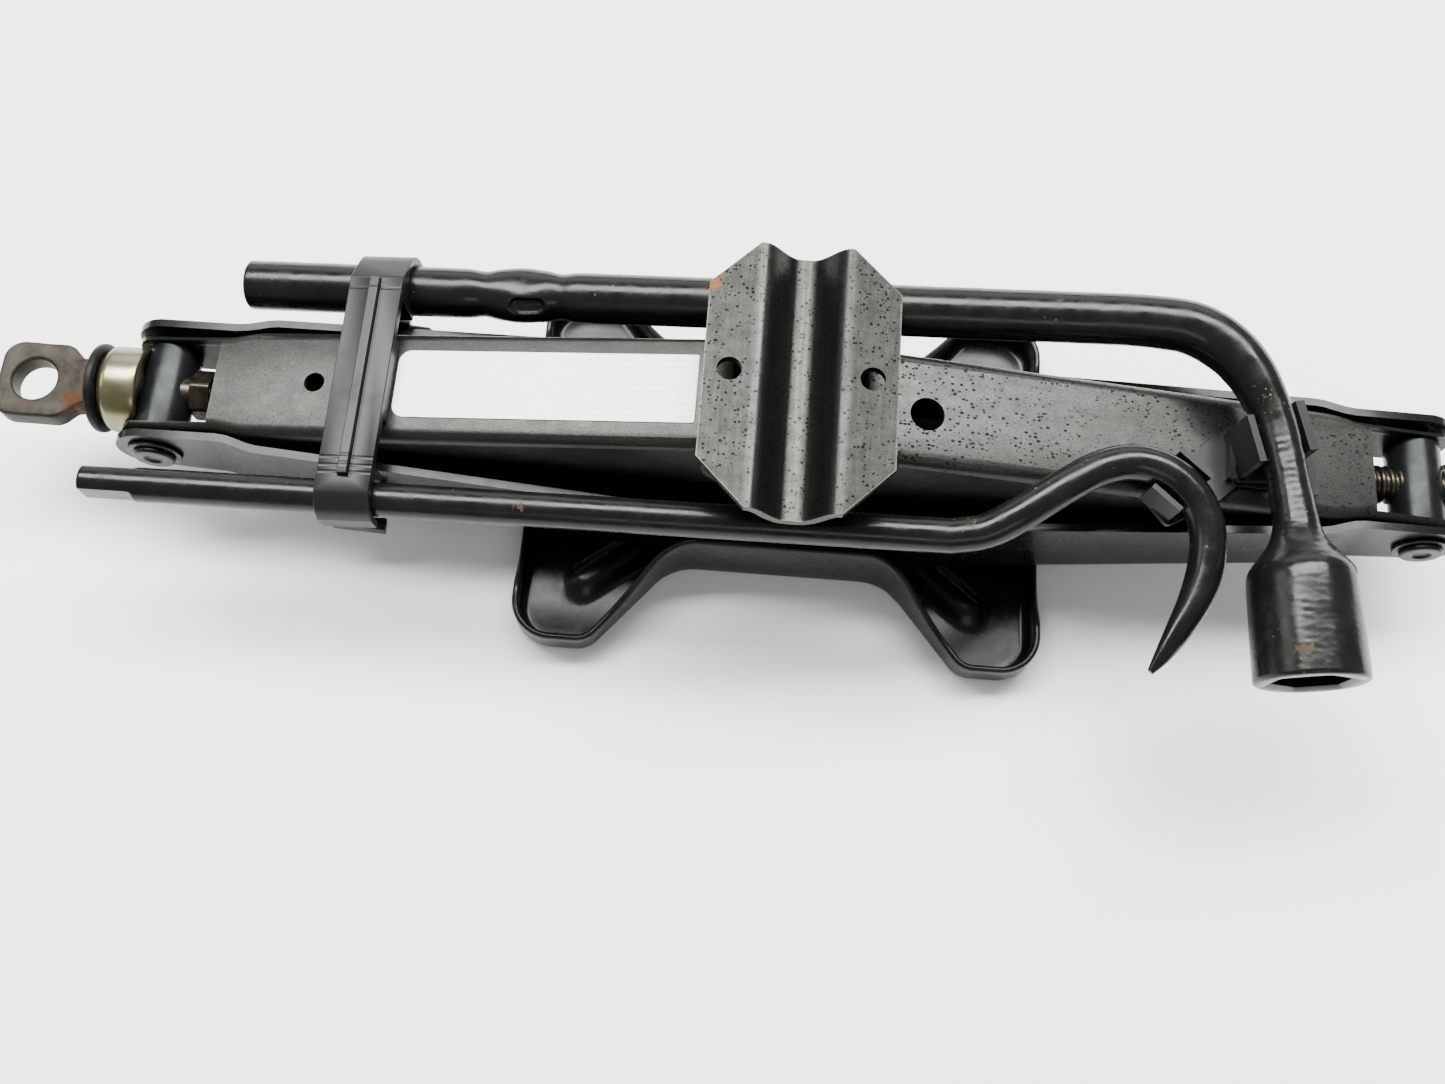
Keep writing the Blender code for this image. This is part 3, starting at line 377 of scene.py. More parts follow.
def finishShader(tree, shader, color, rough, height, strength, distance):
    tree.links.new(color, shader.inputs["Base Color"])
    if rough is not None:
        tree.links.new(rough, shader.inputs["Roughness"])
    made = node(tree, "ShaderNodeBump", None, Strength=strength, Distance=distance * mm)
    tree.links.new(height, made.inputs["Height"])
    tree.links.new(made.outputs[0], shader.inputs["Normal"])


def addSpecks(tree, look, place, color, rough):
    cluster = useGroup(tree, patchGroup, place, Scale=look["clusterScale"], Level=look["clusterLevel"],
                       Softness=0.12)
    dots = useGroup(tree, speckGroup, place, Scale=look["speckScale"], Size=look["speckSize"],
                    Share=look["speckShare"])
    specks = mathNode(tree, "MULTIPLY", dots, cluster)
    if "speckFrom" in look:
        # only past a position along the jack
        past = remap(tree, splitXYZ(tree, place)[0], *look["speckFrom"])
        specks = mathNode(tree, "MULTIPLY", specks, past)
    color = mixColors(tree, specks, color, look["speckColor"])
    return color, mathNode(tree, "MULTIPLY_ADD", specks, 0.25, rough)


def addPaintedLightAndRust(tree, look, place, color):
    # painted highlight along Y: bright bands of |x| on the two crests and the groove's floor, streaked along
    # Y, with faint streaks everywhere
    crestX, crestReach, floorReach = look["paintedHighlight"]
    parts = splitXYZ(tree, place)
    away = mathNode(tree, "ABSOLUTE", parts[0])
    fromCrest = mathNode(tree, "ABSOLUTE", mathNode(tree, "SUBTRACT", away, crestX))
    bands = mathNode(tree, "MAXIMUM", remap(tree, fromCrest, crestReach, 0.0004),
                     remap(tree, away, floorReach, 0.0008))
    lines = node(tree, "ShaderNodeMapping", None, Scale=(1, 0.04, 1))
    tree.links.new(place, lines.inputs["Vector"])
    streaks = remap(tree, noiseNode(tree, lines.outputs[0], 900, 3.0), 0.35, 0.7)
    highlightBands = mathNode(tree, "MULTIPLY", bands, mathNode(tree, "MULTIPLY_ADD", streaks, 0.5, 0.5))
    highlightBands = mathNode(tree, "MAXIMUM", highlightBands, mathNode(tree, "MULTIPLY", streaks, 0.12))

    # a lighter band along the rim: distance in from the sides, and from the ends with their cut corners
    halfX, halfY, flatX, rim = look["outline"]
    sideGap = mathNode(tree, "SUBTRACT", halfX, away)
    cutCorner = mathNode(tree, "MAXIMUM", mathNode(tree, "SUBTRACT", away, flatX), 0.0)
    endGap = mathNode(tree, "SUBTRACT", halfY, mathNode(tree, "ABSOLUTE", parts[1]))
    gap = mathNode(tree, "MINIMUM", sideGap, mathNode(tree, "SUBTRACT", endGap, cutCorner))
    edge = mathNode(tree, "MULTIPLY", remap(tree, gap, rim, 0.0), 0.9)
    color = mixColors(tree, mathNode(tree, "MAXIMUM", highlightBands, edge), color, look["highlightAndRimColor"])
    # painted shade: the colour scaled down across x, darker towards +x
    color = scaleColor(tree, color, remap(tree, parts[0], *look["drift"]))

    # one rusty corner
    spotCenter, spotReach = look["rustSpot"]
    corner = node(tree, "ShaderNodeVectorMath", {"operation": "DISTANCE"}, i1=spotCenter)
    tree.links.new(place, corner.inputs[0])
    spot = mathNode(tree, "MULTIPLY_ADD", noiseNode(tree, place, 500, 3.0), -0.004,
                    corner.outputs["Value"])
    return mixColors(tree, remap(tree, spot, spotReach, 0.0), color, (0.04, 0.018, 0.008))


def coatedMaterial(name, look):
    # paint or dip coat: mottled base, dark specks, rust chips, uneven gloss and a fine skin
    metallic, roughness, spread = look["metallic"], look["roughness"], look["roughSpread"]
    material, tree, shader, place = newMaterial(name, metallic, roughness, look["specular"],
                                                look["stretch"])
    mottle = remap(tree, noiseNode(tree, place, look["mottleScale"], 4.0), 0.3, 0.72)
    color = mixColors(tree, mottle, look["base"], look["tint"])
    rough = remap(tree, noiseNode(tree, place, look["mottleScale"] * 2.3, 3.0), 0.3, 0.7,
                  roughness - spread, roughness + spread)
    if "speckShare" in look:
        color, rough = addSpecks(tree, look, place, color, rough)
    if "grain" in look:
        fine = noiseNode(tree, place, 2600, 2.0, 0.7)
        color = scaleColor(tree, color, remap(tree, fine, 0.3, 0.7, 1 - look["grain"], 1 + look["grain"]))
    # painted highlight bands, a lighter rim band, painted shade across x and a rusty corner
    if "paintedHighlight" in look:
        color = addPaintedLightAndRust(tree, look, place, color)
    if "webPlane" in look:
        # painted sheen only on the web: lighter metallic colour by height above the arm's own sloping line,
        # black coat below
        slope, offset, low, high = look["webPlane"]
        parts = splitXYZ(tree, placeOf(tree))
        height = mathNode(tree, "MULTIPLY_ADD", mathNode(tree, "ABSOLUTE", parts[0]), slope,
                          mathNode(tree, "SUBTRACT", parts[2], offset))
        webSheen = remap(tree, height, low, high)
        color = mixColors(tree, webSheen, look["below"], color)
        tree.links.new(mathNode(tree, "MULTIPLY", webSheen, metallic), shader.inputs["Metallic"])
    if "rustLevel" in look:
        rust = useGroup(tree, patchGroup, place, Scale=look["rustScale"], Level=look["rustLevel"],
                        Softness=0.02)
        color = mixColors(tree, rust, color, look["rustColor"])
        rough = mathNode(tree, "MULTIPLY_ADD", rust, 0.4, rough)
        clean = mathNode(tree, "SUBTRACT", 1.0, rust)
        tree.links.new(mathNode(tree, "MULTIPLY", clean, metallic), shader.inputs["Metallic"])
    finishShader(tree, shader, color, rough, noiseNode(tree, place, look["skinScale"], 2.0),
                 look["skinStrength"], look["skinDepth"])
    return material


# positions shared by the pieces, in millimetres

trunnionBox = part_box("left_trunnion")
trunnionX = -(trunnionBox[0].x + trunnionBox[1].x) / 2 / mm
trunnionZ = (trunnionBox[0].z + trunnionBox[1].z) / 2 / mm
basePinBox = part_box("right_base_pin")
pivotX = (basePinBox[0].x + basePinBox[1].x) / 2 / mm
basePivotZ = (basePinBox[0].z + basePinBox[1].z) / 2 / mm
saddlePivotZ = 2 * trunnionZ - basePivotZ

webSlope = math.tan(math.radians(7.5))

finishBase = {"metallic": 0.0, "roughSpread": 0.05, "specular": 0.2, "stretch": (1, 1, 1),
              "skinScale": 900, "skinStrength": 0.3, "skinDepth": 0.05}
finishes = {
    "blackCoat": {"base": (0.0035, 0.004, 0.0035), "tint": (0.006, 0.007, 0.006), "roughness": 0.25,
                  "roughSpread": 0.04, "specular": 0.16, "mottleScale": 60, "speckShare": 0.35,
                  "speckScale": 700, "speckSize": 0.2, "speckColor": (0.05, 0.05, 0.048),
                  "clusterScale": 30, "clusterLevel": 0.52, "skinStrength": 0.25},
    # the web's lighter grey is a painted sheen; its specks are real dirt
    "webSheenWithSpecks": {"base": (0.027, 0.0285, 0.026), "tint": (0.031, 0.0325, 0.0295), "metallic": 0.8,
                "roughness": 0.36, "roughSpread": 0.04, "specular": 0.22, "mottleScale": 110,
                "speckShare": 0.9, "speckScale": 820, "speckSize": 0.31,
                "speckColor": (0.007, 0.007, 0.006), "clusterScale": 22, "clusterLevel": 0.33,
                "skinScale": 2200, "skinStrength": 0.7, "stretch": (0.7, 1, 1), "grain": 0.32,
                "speckFrom": (-0.03, 0.02), "below": (0.004, 0.0042, 0.004),
                "webPlane": (webSlope, (saddlePivotZ + pivotX * webSlope) * mm, 0.0078, 0.0096)},
    "wornSaddle": {"base": (0.0090, 0.0098, 0.0084), "tint": (0.0115, 0.0123, 0.0105),
                   "metallic": 0.85, "roughness": 0.33, "mottleScale": 120, "speckShare": 0.85,
                   "speckScale": 760, "speckSize": 0.3, "speckColor": (0.004, 0.0025, 0.0015),
                   "clusterScale": 40, "clusterLevel": 0.36, "skinScale": 1800, "skinStrength": 0.6,
                   # painted highlight bands on the crests and groove floor, with a lighter rim band
                   "grain": 0.3, "paintedHighlight": (0.0128, 0.0034, 0.0030),
                   # drift paints shade: the plate darker towards +x
                   "highlightAndRimColor": (0.036, 0.0385, 0.0345), "drift": (-0.018, 0.022, 1.12, 0.72),
                   "rustSpot": ((-0.0295, 0.029, 0.0915), 0.0032),
                   "outline": (0.0295, 0.044, 0.0145, 0.0007)},
    "toolBlack": {"base": (0.003, 0.003, 0.003), "tint": (0.005, 0.0055, 0.005), "roughness": 0.24,
                  "roughSpread": 0.06, "specular": 0.23, "mottleScale": 80, "speckShare": 0.3,
                  "speckScale": 520, "speckSize": 0.2, "speckColor": (0.06, 0.055, 0.045),
                  "clusterScale": 45, "clusterLevel": 0.55, "rustLevel": 0.664, "rustScale": 90,
                  "rustColor": (0.035, 0.021, 0.011), "skinScale": 600, "skinStrength": 0.35,
                  "skinDepth": 0.08},
    "pinDark": {"base": (0.012, 0.012, 0.0125), "tint": (0.022, 0.022, 0.022), "metallic": 0.6,
                "roughness": 0.34, "roughSpread": 0.08, "specular": 0.22, "mottleScale": 150},
    "oilySteel": {"base": (0.045, 0.038, 0.029), "tint": (0.02, 0.017, 0.013), "metallic": 0.9,
                  "roughness": 0.32, "roughSpread": 0.1, "specular": 0.5, "mottleScale": 160,
                  "speckShare": 0.5, "speckScale": 900, "speckSize": 0.2,
                  "speckColor": (0.02, 0.016, 0.012), "clusterScale": 90, "clusterLevel": 0.45,
                  "skinStrength": 0.35},
    "barrelCoat": {"base": (0.008, 0.009, 0.0095), "tint": (0.013, 0.014, 0.0145), "metallic": 0.6,
                   "roughness": 0.3, "specular": 0.16, "mottleScale": 90, "skinScale": 1200,
                   "skinStrength": 0.2, "skinDepth": 0.04},
}


def rustMaterial():
    # bare forged steel: grey-brown scale, orange patches and pits
    material, tree, shader, place = newMaterial("rustySteel", 0.35, 0.62, 0.15)
    scale = remap(tree, noiseNode(tree, place, 130, 5.0, 0.65), 0.3, 0.7)
    color = mixColors(tree, scale, (0.012, 0.010, 0.0075), (0.032, 0.029, 0.023))
    orange = useGroup(tree, patchGroup, place, Scale=75, Level=0.53, Softness=0.1)
    color = mixColors(tree, mathNode(tree, "MULTIPLY", orange, 0.75), color, (0.085, 0.034, 0.013))
    dots = useGroup(tree, speckGroup, place, Scale=800, Size=0.28, Share=0.35)
    color = mixColors(tree, dots, color, (0.035, 0.022, 0.014))
    finishShader(tree, shader, color, remap(tree, orange, 0, 1, 0.5, 0.85),
                 noiseNode(tree, place, 420, 5.0, 0.7), 0.6, 0.25)
    return material


def zincMaterial():
    # yellow passivated zinc: faint olive and straw drift with oily smears
    material, tree, shader, place = newMaterial("zincSteel", 0.92, 0.3)
    drift = remap(tree, noiseNode(tree, place, 90, 3.0), 0.3, 0.7)
    color = mixColors(tree, drift, (0.15, 0.142, 0.07), (0.22, 0.212, 0.14))
    dirt = useGroup(tree, patchGroup, place, Scale=60, Level=0.56, Softness=0.15)
    color = mixColors(tree, mathNode(tree, "MULTIPLY", dirt, 0.7), color, (0.05, 0.038, 0.02))
    finishShader(tree, shader, color, remap(tree, dirt, 0, 1, 0.26, 0.55),
                 noiseNode(tree, place, 500, 3.0), 0.25, 0.06)
    return material


def plasticMaterial(name, creases=()):
    # moulded dark grey plastic: even satin skin, lighter rubbed patches, folds across at some y
    material, tree, shader, place = newMaterial(name, 0.0, 0.36, 0.24)
    rub = useGroup(tree, patchGroup, place, Scale=55, Level=0.5, Softness=0.25)
    color = mixColors(tree, rub, (0.005, 0.0057, 0.005), (0.010, 0.0108, 0.0095))
    height = noiseNode(tree, place, 1500, 2.0)
    across = splitXYZ(tree, place)[1]
    for y in creases:
        away = mathNode(tree, "ABSOLUTE", mathNode(tree, "SUBTRACT", across, y))
        height = mathNode(tree, "MULTIPLY_ADD", remap(tree, away, 0.0007, 0.0001), -9.0, height)
    finishShader(tree, shader, color, remap(tree, rub, 0, 1, 0.36, 0.5), height, 0.3, 0.04)
    return material


def rubberMaterial():
    material, tree, shader, place = newMaterial("sealRubber", 0.0, 0.45, 0.12)
    dust = remap(tree, noiseNode(tree, place, 240, 4.0), 0.35, 0.75)
    color = mixColors(tree, dust, (0.003, 0.003, 0.0025), (0.009, 0.009, 0.0075))
    finishShader(tree, shader, color, None, noiseNode(tree, place, 900, 3.0), 0.3, 0.08)
    return material


def filmMaterial():
    # plain white film with faint grey rules where printing would be
    material, tree, shader, place = newMaterial("whiteFilm", 0.0, 0.4)
    parts = splitXYZ(tree, place)
    rows = mathNode(tree, "PINGPONG", mathNode(tree, "ADD", parts[1], 0.5), 0.00105)
    line = remap(tree, rows, 0.00068, 0.00092)
    broken = remap(tree, noiseNode(tree, place, 420, 1.0), 0.42, 0.5)
    side = remap(tree, parts[0], -0.078, -0.062)
    mask = mathNode(tree, "MULTIPLY", mathNode(tree, "MULTIPLY", line, broken), side)
    faint = mathNode(tree, "MULTIPLY", mask, 0.4)
    color = mixColors(tree, faint, (0.86, 0.87, 0.87), (0.40, 0.40, 0.36))
    finishShader(tree, shader, color, None, noiseNode(tree, place, 300, 2.0), 0.1, 0.03)
    return material


looks = {name: coatedMaterial(name, {**finishBase, **look}) for name, look in finishes.items()}
looks["rustySteel"] = rustMaterial()
looks["zincSteel"] = zincMaterial()
looks["strapPlastic"] = plasticMaterial("strapPlastic", (0.0305, -0.0285, -0.0312, -0.0335))
looks["moldedPlastic"] = plasticMaterial("moldedPlastic")
looks["sealRubber"] = rubberMaterial()
looks["whiteFilm"] = filmMaterial()
print("materials made:", len(looks))

# base pan

panShape = {"corners": ((36.6, 34.6, 18.0), (62.8, 66.3, 9.0), (89.5, 66.3, 14.0)), "sheet": 2.3, "bend": 5.0,
            "rim": 15.0, "ear": 31.0, "gate": 9.5, "beadTip": (66.5, 41.0), "beadRoot": (40.7, 20.7),
            "beadWidth": 8.5, "beadHeight": 3.6, "step": 1.3, "rings": 54}


def cornerLoop(corners, step):
    # closed outline: an arc tangent to both sides at each corner, then evenly spaced points
    rows = []
    neighbours = zip(corners[-1:] + corners[:-1], corners, corners[1:] + corners[:1])
    for before, (x, y, size), after in neighbours:
        here = np.array((x, y), float)
        back, on = unit(np.array(before[:2]) - here), unit(np.array(after[:2]) - here)
        half = math.acos(float(back @ on)) / 2
        middle = here + unit(back + on) * size / math.sin(half)
        first = here + back * size / math.tan(half) - middle
        last = here + on * size / math.tan(half) - middle
        turn = math.atan2(first[0] * last[1] - first[1] * last[0], float(first @ last))
        t = turn * np.linspace(0, 1, 25)
        rows.append(middle + np.stack([np.cos(t) * first[0] - np.sin(t) * first[1],
                                       np.sin(t) * first[0] + np.cos(t) * first[1]], -1))
    loop = np.vstack(rows + [rows[0][:1]])
    return evenPath(np.column_stack([loop, np.zeros(len(loop))]), step)[:-1, :2]


def loopNormals(loop):
    tangent = np.roll(loop, -1, axis=0) - np.roll(loop, 1, axis=0)
    tangent /= np.linalg.norm(tangent, axis=1)[:, None]
    normal = np.stack([tangent[:, 1], -tangent[:, 0]], -1)
    area = np.sum(loop[:, 0] * np.roll(loop[:, 1], -1) - loop[:, 1] * np.roll(loop[:, 0], -1))
    return normal if area > 0 else -normal


def rimHeight(x, y):
    # full height round the feet, lower under the arms at both ends, high ears beside the pivots
    underArms = np.where(np.abs(x) > 88, ease(34, 50, np.abs(y)), 1.0)
    foot = panShape["gate"] + (panShape["rim"] - panShape["gate"]) * underArms
    return foot + (panShape["ear"] - foot) * ease(-58, -28, -np.abs(x))


def beadRelief(x, y):
    # a pressed bead along a line towards each foot: rounded ridge by distance from that line
    root, tip = np.array(panShape["beadRoot"]), np.array(panShape["beadTip"])
    px, py = np.abs(x) - root[0], np.abs(y) - root[1]
    along = tip - root
    share = np.clip((px * along[0] + py * along[1]) / (along @ along), 0, 1)
    away = np.hypot(px - share * along[0], py - share * along[1])
    return panShape["beadHeight"] * (1 - ease(0.12, 1.0, away / panShape["beadWidth"]))


def buildPan():
    quarter = list(panShape["corners"])
    corners = quarter + [(x, -y, r) for x, y, r in reversed(quarter)]
    corners += [(-x, -y, r) for x, y, r in quarter] + [(-x, y, r) for x, y, r in reversed(quarter)]
    loop = cornerLoop(corners, panShape["step"])
    outward = loopNormals(loop)
    sheet, bend = panShape["sheet"], panShape["bend"]
    turn = np.linspace(0, np.pi / 2, 9)
    outerBend = np.stack([bend - bend * np.sin(turn), bend - bend * np.cos(turn)], -1)
    inner = bend - sheet
    innerBend = np.stack([bend - inner * np.cos(turn), bend - inner * np.sin(turn)], -1)
    crest = np.linspace(np.pi, 0, 9)
    lip = np.stack([sheet / 2 + sheet / 2 * np.cos(crest), sheet / 2 * np.sin(crest) - sheet / 2], -1)
    top = rimHeight(loop[:, 0], loop[:, 1])
    # sections run from the underside, up the outer wall, over the lip and down inside
    depth = np.concatenate([outerBend[:, 0], np.zeros(5), lip[:, 0], np.full(5, sheet), innerBend[:, 0]])
    climb = np.linspace(0, 1, 7)[1:-1]
    wallOut = bend + climb[:, None] * (top - sheet / 2 - bend)[None]
    wallIn = bend + climb[::-1][:, None] * (top - sheet / 2 - bend)[None]
    lipZ = top[None] + lip[:, 1][:, None]
    height = np.vstack([np.repeat(outerBend[:, 1][:, None], len(loop), 1), wallOut, lipZ, wallIn,
                        np.repeat(innerBend[:, 1][:, None], len(loop), 1)])
    plan = loop[None] - outward[None] * depth[:, None, None]
    wall = np.concatenate([plan, height[:, :, None]], -1)
    shrink = np.linspace(1, 0.0, panShape["rings"])[1:, None, None]
    inside = plan[-1][None] * shrink
    innerZ = sheet + beadRelief(inside[..., 0], inside[..., 1])
    outside = plan[0][None] * shrink[::-1]
    outerZ = beadRelief(outside[..., 0], outside[..., 1]) * 0.98
    points = np.vstack([np.concatenate([outside, outerZ[..., None]], -1), wall,
                        np.concatenate([inside, innerZ[..., None]], -1)])
    mesh = makeMesh("basePan", points.reshape(-1, 3), gridQuads(len(points), len(loop)))
    return addPiece("basePan", mesh, "base", looks["blackCoat"], ["base_plate"], 60)


buildPan()

pinShape = {"base": {"half": 34.3, "radius": 5.0, "head": (5.0, 34.5), "dimple": 2.2},
            "saddle": {"half": 23.1, "radius": 4.8, "head": (6.4, 24.5), "dimple": 1.8}}


def buildPin(name, shape, x, z, body, cadName):
    # rivet: shank, rounded head and a shallow dimple in the middle of each end
    headRadius, headHalf = shape["head"]
    corners = [(0, headHalf - 0.5, 0), (shape["dimple"], headHalf - 0.5, 0.3),
               (shape["dimple"] + 0.6, headHalf, 0.3), (headRadius, headHalf, 0.8)]
    if headRadius > shape["radius"]:
        corners += [(headRadius, shape["half"], 0.1), (shape["radius"], shape["half"], 0.1)]
    turnedPiece(name, mirrored(corners), "Y", (x, 0, z), body, looks["pinDark"], [cadName])


for sign, word in ((-1, "left"), (1, "right")):
    buildPin(word + "BasePin", pinShape["base"], sign * pivotX, basePivotZ, "base", word + "_base_pin")
print("base made")

# arms, cheeks and saddle pins


for word in ("left", "right"):
    refineNode("lower_%s_arm" % word, "lower_" + word, looks["blackCoat"], 0.35)
    refineNode("upper_%s_arm" % word, "upper_" + word, looks["webSheenWithSpecks"], 0.5, 3)
for name in ("front_cheek", "back_cheek"):
    refineNode(name, "saddle", looks["blackCoat"], 0.35)
for sign, word in ((-1, "left"), (1, "right")):
    buildPin(word + "SaddlePin", pinShape["saddle"], sign * pivotX, saddlePivotZ, "saddle",
             word + "_saddle_pin")
print("arms made")

# saddle plate

saddleShape = {"half": (29.5, 44.0), "chamfer": 15.0, "sheet": 2.8, "groove": 13.6, "floor": 1.8,
               "depth": 8.8, "holes": (21.6, 3.8), "columns": 150, "rows": 70}


def buildSaddle():
    # top height(x) = flat wings and a groove with cosine sides; the underside is one sheet below it
    halfX, halfY = saddleShape["half"]
    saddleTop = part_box("saddle_plate")[1].z / mm
    bend = halfX - saddleShape["chamfer"]
    x = np.unique(np.concatenate([np.linspace(-halfX, halfX, saddleShape["columns"]), [-bend, bend]]))
    reach = halfY - np.clip(np.abs(x) - bend, 0, None)
    share = np.linspace(-1, 1, saddleShape["rows"])
    groove = saddleShape["groove"]
    inside = np.clip((np.abs(x) - saddleShape["floor"]) / (groove - saddleShape["floor"]), 0, 1)
    level = saddleTop - saddleShape["depth"] * (0.5 + 0.5 * np.cos(np.pi * inside))
    slope = np.gradient(level, x)
    drop = saddleShape["sheet"] / np.sqrt(1 + slope ** 2)
    top = np.stack([np.repeat(x[:, None], len(share), 1), reach[:, None] * share,
                    np.repeat(level[:, None], len(share), 1)], -1)
    under = top.copy()
    under[..., 0] += (slope * drop)[:, None]
    under[..., 2] -= drop[:, None]
    ring = np.concatenate([top, under[:, ::-1]], 1)
    piece = gridPiece("saddlePlate", ring, "saddle", looks["wornSaddle"], ["saddle_plate"])
    at, radius = saddleShape["holes"]
    for sign in (-1, 1):
        profile = np.array([(0, -9.0), (radius, -9.0), (radius, 9.0), (0, 9.0)])
        tube = latheGrid(profile, "Z", (sign * at, 0, saddleTop - 3), 48)
        drill = makeMesh("drill", tube.reshape(-1, 3), gridQuads(4, 48))
        tidyMesh(drill)
        tool = bpy.data.objects.new("drill", drill)
        bpy.context.scene.collection.objects.link(tool)
        cut = piece.modifiers.new("Hole", "BOOLEAN")
        cut.operation, cut.solver, cut.object = "DIFFERENCE", "EXACT", tool
        bpy.context.view_layer.update()
        graph = bpy.context.evaluated_depsgraph_get()
        cutMesh = bpy.data.meshes.new_from_object(piece.evaluated_get(graph))
        piece.modifiers.clear()
        piece.data = cutMesh
        bpy.data.objects.remove(tool)
    cutMesh.shade_smooth()
    cutMesh.set_sharp_from_angle(angle=math.radians(35))
    softenEdges(piece, 0.4, 2, 40)


buildSaddle()
print("saddle made")

# trunnions, thrust bearing and screw


trunnionShape = {"profile": [(0, 23.2, 0), (2.4, 23.2, 0.4), (3.1, 24.0, 0.4), (6.7, 24.0, 1.0),
                             (6.7, 22.45, 0.2), (5.6, 22.45, 0), (5.6, 14.5, 0), (8.75, 14.5, 0.6)],
                 "washer": ((5.95, 21.25, 0.1), (8.7, 21.25, 0.25), (8.7, 22.3, 0.3), (5.95, 22.3, 0.2))}


def buildTrunnion(sign, word):
    center, body = (sign * trunnionX, 0, trunnionZ), word + "_trunnion_body"
    turnedPiece(word + "Trunnion", mirrored(trunnionShape["profile"]), "Y", center, body,
                looks["barrelCoat"], [word + "_trunnion"], 72)
    for side, end in ((-1, "front"), (1, "back")):
        ring = [(radius, side * height, size) for radius, height, size in trunnionShape["washer"]]
        turnedPiece(word + end.title() + "Washer", ring, "Y", center, body, looks["pinDark"],
                    ["%s_%s_washer" % (word, end)], 64, True)


for sign, word in ((-1, "left"), (1, "right")):
    buildTrunnion(sign, word)

threadShape = {"radius": 6.35, "depth": 1.0, "pitch": 3.0, "start": -196.0, "end": 219.3, "step": 0.25,
               "plain": -229.9, "sides": 36}


def buildScrew():
    # radius(x, a) = crest less a trapezoid wave of x / pitch - a / full turn
    shape = threadShape
    x = np.concatenate([np.linspace(shape["plain"], shape["start"], 20)[:-1],
                        np.arange(shape["start"], shape["end"], shape["step"]), [shape["end"]]])
    angle = circle(shape["sides"])
    phase = (x[:, None] / shape["pitch"] - angle[None] / (2 * np.pi)) % 1.0
    wave = np.clip(2.2 * (0.5 - np.abs(phase - 0.5)) * 2 - 0.6, 0, 1)
    fade = ease(shape["start"], shape["start"] + 3, x) * (1 - ease(shape["end"] - 2.5, shape["end"], x))
    radius = shape["radius"] - shape["depth"] * (1 - wave) * fade[:, None]
    radius = radius - 1.2 * ease(shape["end"] - 1.6, shape["end"], x)[:, None]
    points = np.stack([np.repeat(x[:, None], shape["sides"], 1), radius * np.cos(angle),
                       radius * np.sin(angle) + trunnionZ], -1)
    gridPiece("leadScrew", points, "screw", looks["oilySteel"], ["lead_screw"], sharpAngle=50)


buildScrew()

bearingShape = {"cup": [(7.1, -212.7, 0.2), (14.0, -212.7, 1.0), (14.3, -214.5, 0.6), (14.3, -223.6, 1.4),
                        (12.6, -225.6, 0.4), (11.3, -225.6, 0.3), (11.3, -219.7, 0.2), (7.1, -219.7, 0.2)],
                "seal": [(6.8, -226.2, 0.4), (13.6, -226.2, 0.5), (14.7, -227.0, 0.6), (14.7, -229.0, 0.8),
                         (13.4, -229.6, 0.5), (6.8, -229.6, 0.3)],
                "washer": [(6.8, -223.95, 0.2), (10.5, -223.95, 0.3), (10.5, -225.45, 0.3),
                           (6.8, -225.45, 0.2)],
                "clip": [(6.8, 216.3, 0.1), (8.5, 216.3, 0.4), (8.5, 217.8, 0.4), (6.8, 217.8, 0.1)],
                "seat": 9.1}
axisCenter = (0, 0, trunnionZ)
for name, key, finish, slotName, cadName, sides in (
        ("sealRing", "seal", "sealRubber", "black_rubber", "seal_ring", 80),
        ("thrustWasher", "washer", "oilySteel", "oily_steel", "thrust_washer", 64),
        ("endClip", "clip", "oilySteel", "oily_steel", "end_clip", 64)):
    turnedPiece(name, bearingShape[key], "X", axisCenter, "screw", looks[finish], [cadName],
                sides, True)


def buildCup():
    # the cup's open side is cut to seat on the round barrel behind it
    profile = roundProfile(bearingShape["cup"] + bearingShape["cup"][:1])[:-1]
    points = latheGrid(profile, "X", axisCenter, 96)
    seat = bearingShape["seat"]
    away = points[..., 2] - trunnionZ
    limit = -trunnionX - np.sqrt(np.clip(seat ** 2 - away ** 2, 0, None))
    points[..., 0] = np.where((np.abs(away) < seat) & (points[..., 0] > limit), limit, points[..., 0])
    gridPiece("thrustCup", points, "left_trunnion_body", looks["zincSteel"],
              ["thrust_cup"], True)


buildCup()
refineNode("thrust_balls", "screw", looks["oilySteel"], 0)


collarShape = {"profile": [(6.8, -197.5, 0.2), (8.3, -197.5, 0.8), (8.3, -191.0, 0.8),
                           (6.8, -191.0, 0.2), (6.8, -197.5, 0)], "flat": 7.3, "bore": 7.0, "sides": 96}


def buildCollar():
    # worn hexagon collar: the round profile, cut back to a hexagon outside its bore
    profile = roundProfile(collarShape["profile"])[:-1]
    points = latheGrid(profile, "X", axisCenter, collarShape["sides"])
    size = profile[:, :1]
    hexagon = hexagonRadius(collarShape["flat"], circle(collarShape["sides"]))[None]
    cut = np.where(size > collarShape["bore"], np.minimum(size, hexagon) / size, 1.0)
    points[..., 1] *= cut
    points[..., 2] = trunnionZ + (points[..., 2] - trunnionZ) * cut
    gridPiece("stopCollar", points, "screw", looks["oilySteel"], ["stop_collar"], True)


buildCollar()

eyeShape = {"corners": [(-262.0, 13.3, 6.5), (-240.0, 13.3, 5.5), (-235.6, 8.8, 3.0), (-230.4, 7.4, 0.6),
                        (-230.4, -7.4, 0.6), (-235.6, -8.8, 3.0), (-240.0, -13.3, 5.5), (-262.0, -13.3, 6.5)],
            "hole": (-250.0, 7.25), "half": 4.0, "edge": 1.1, "sides": 200}


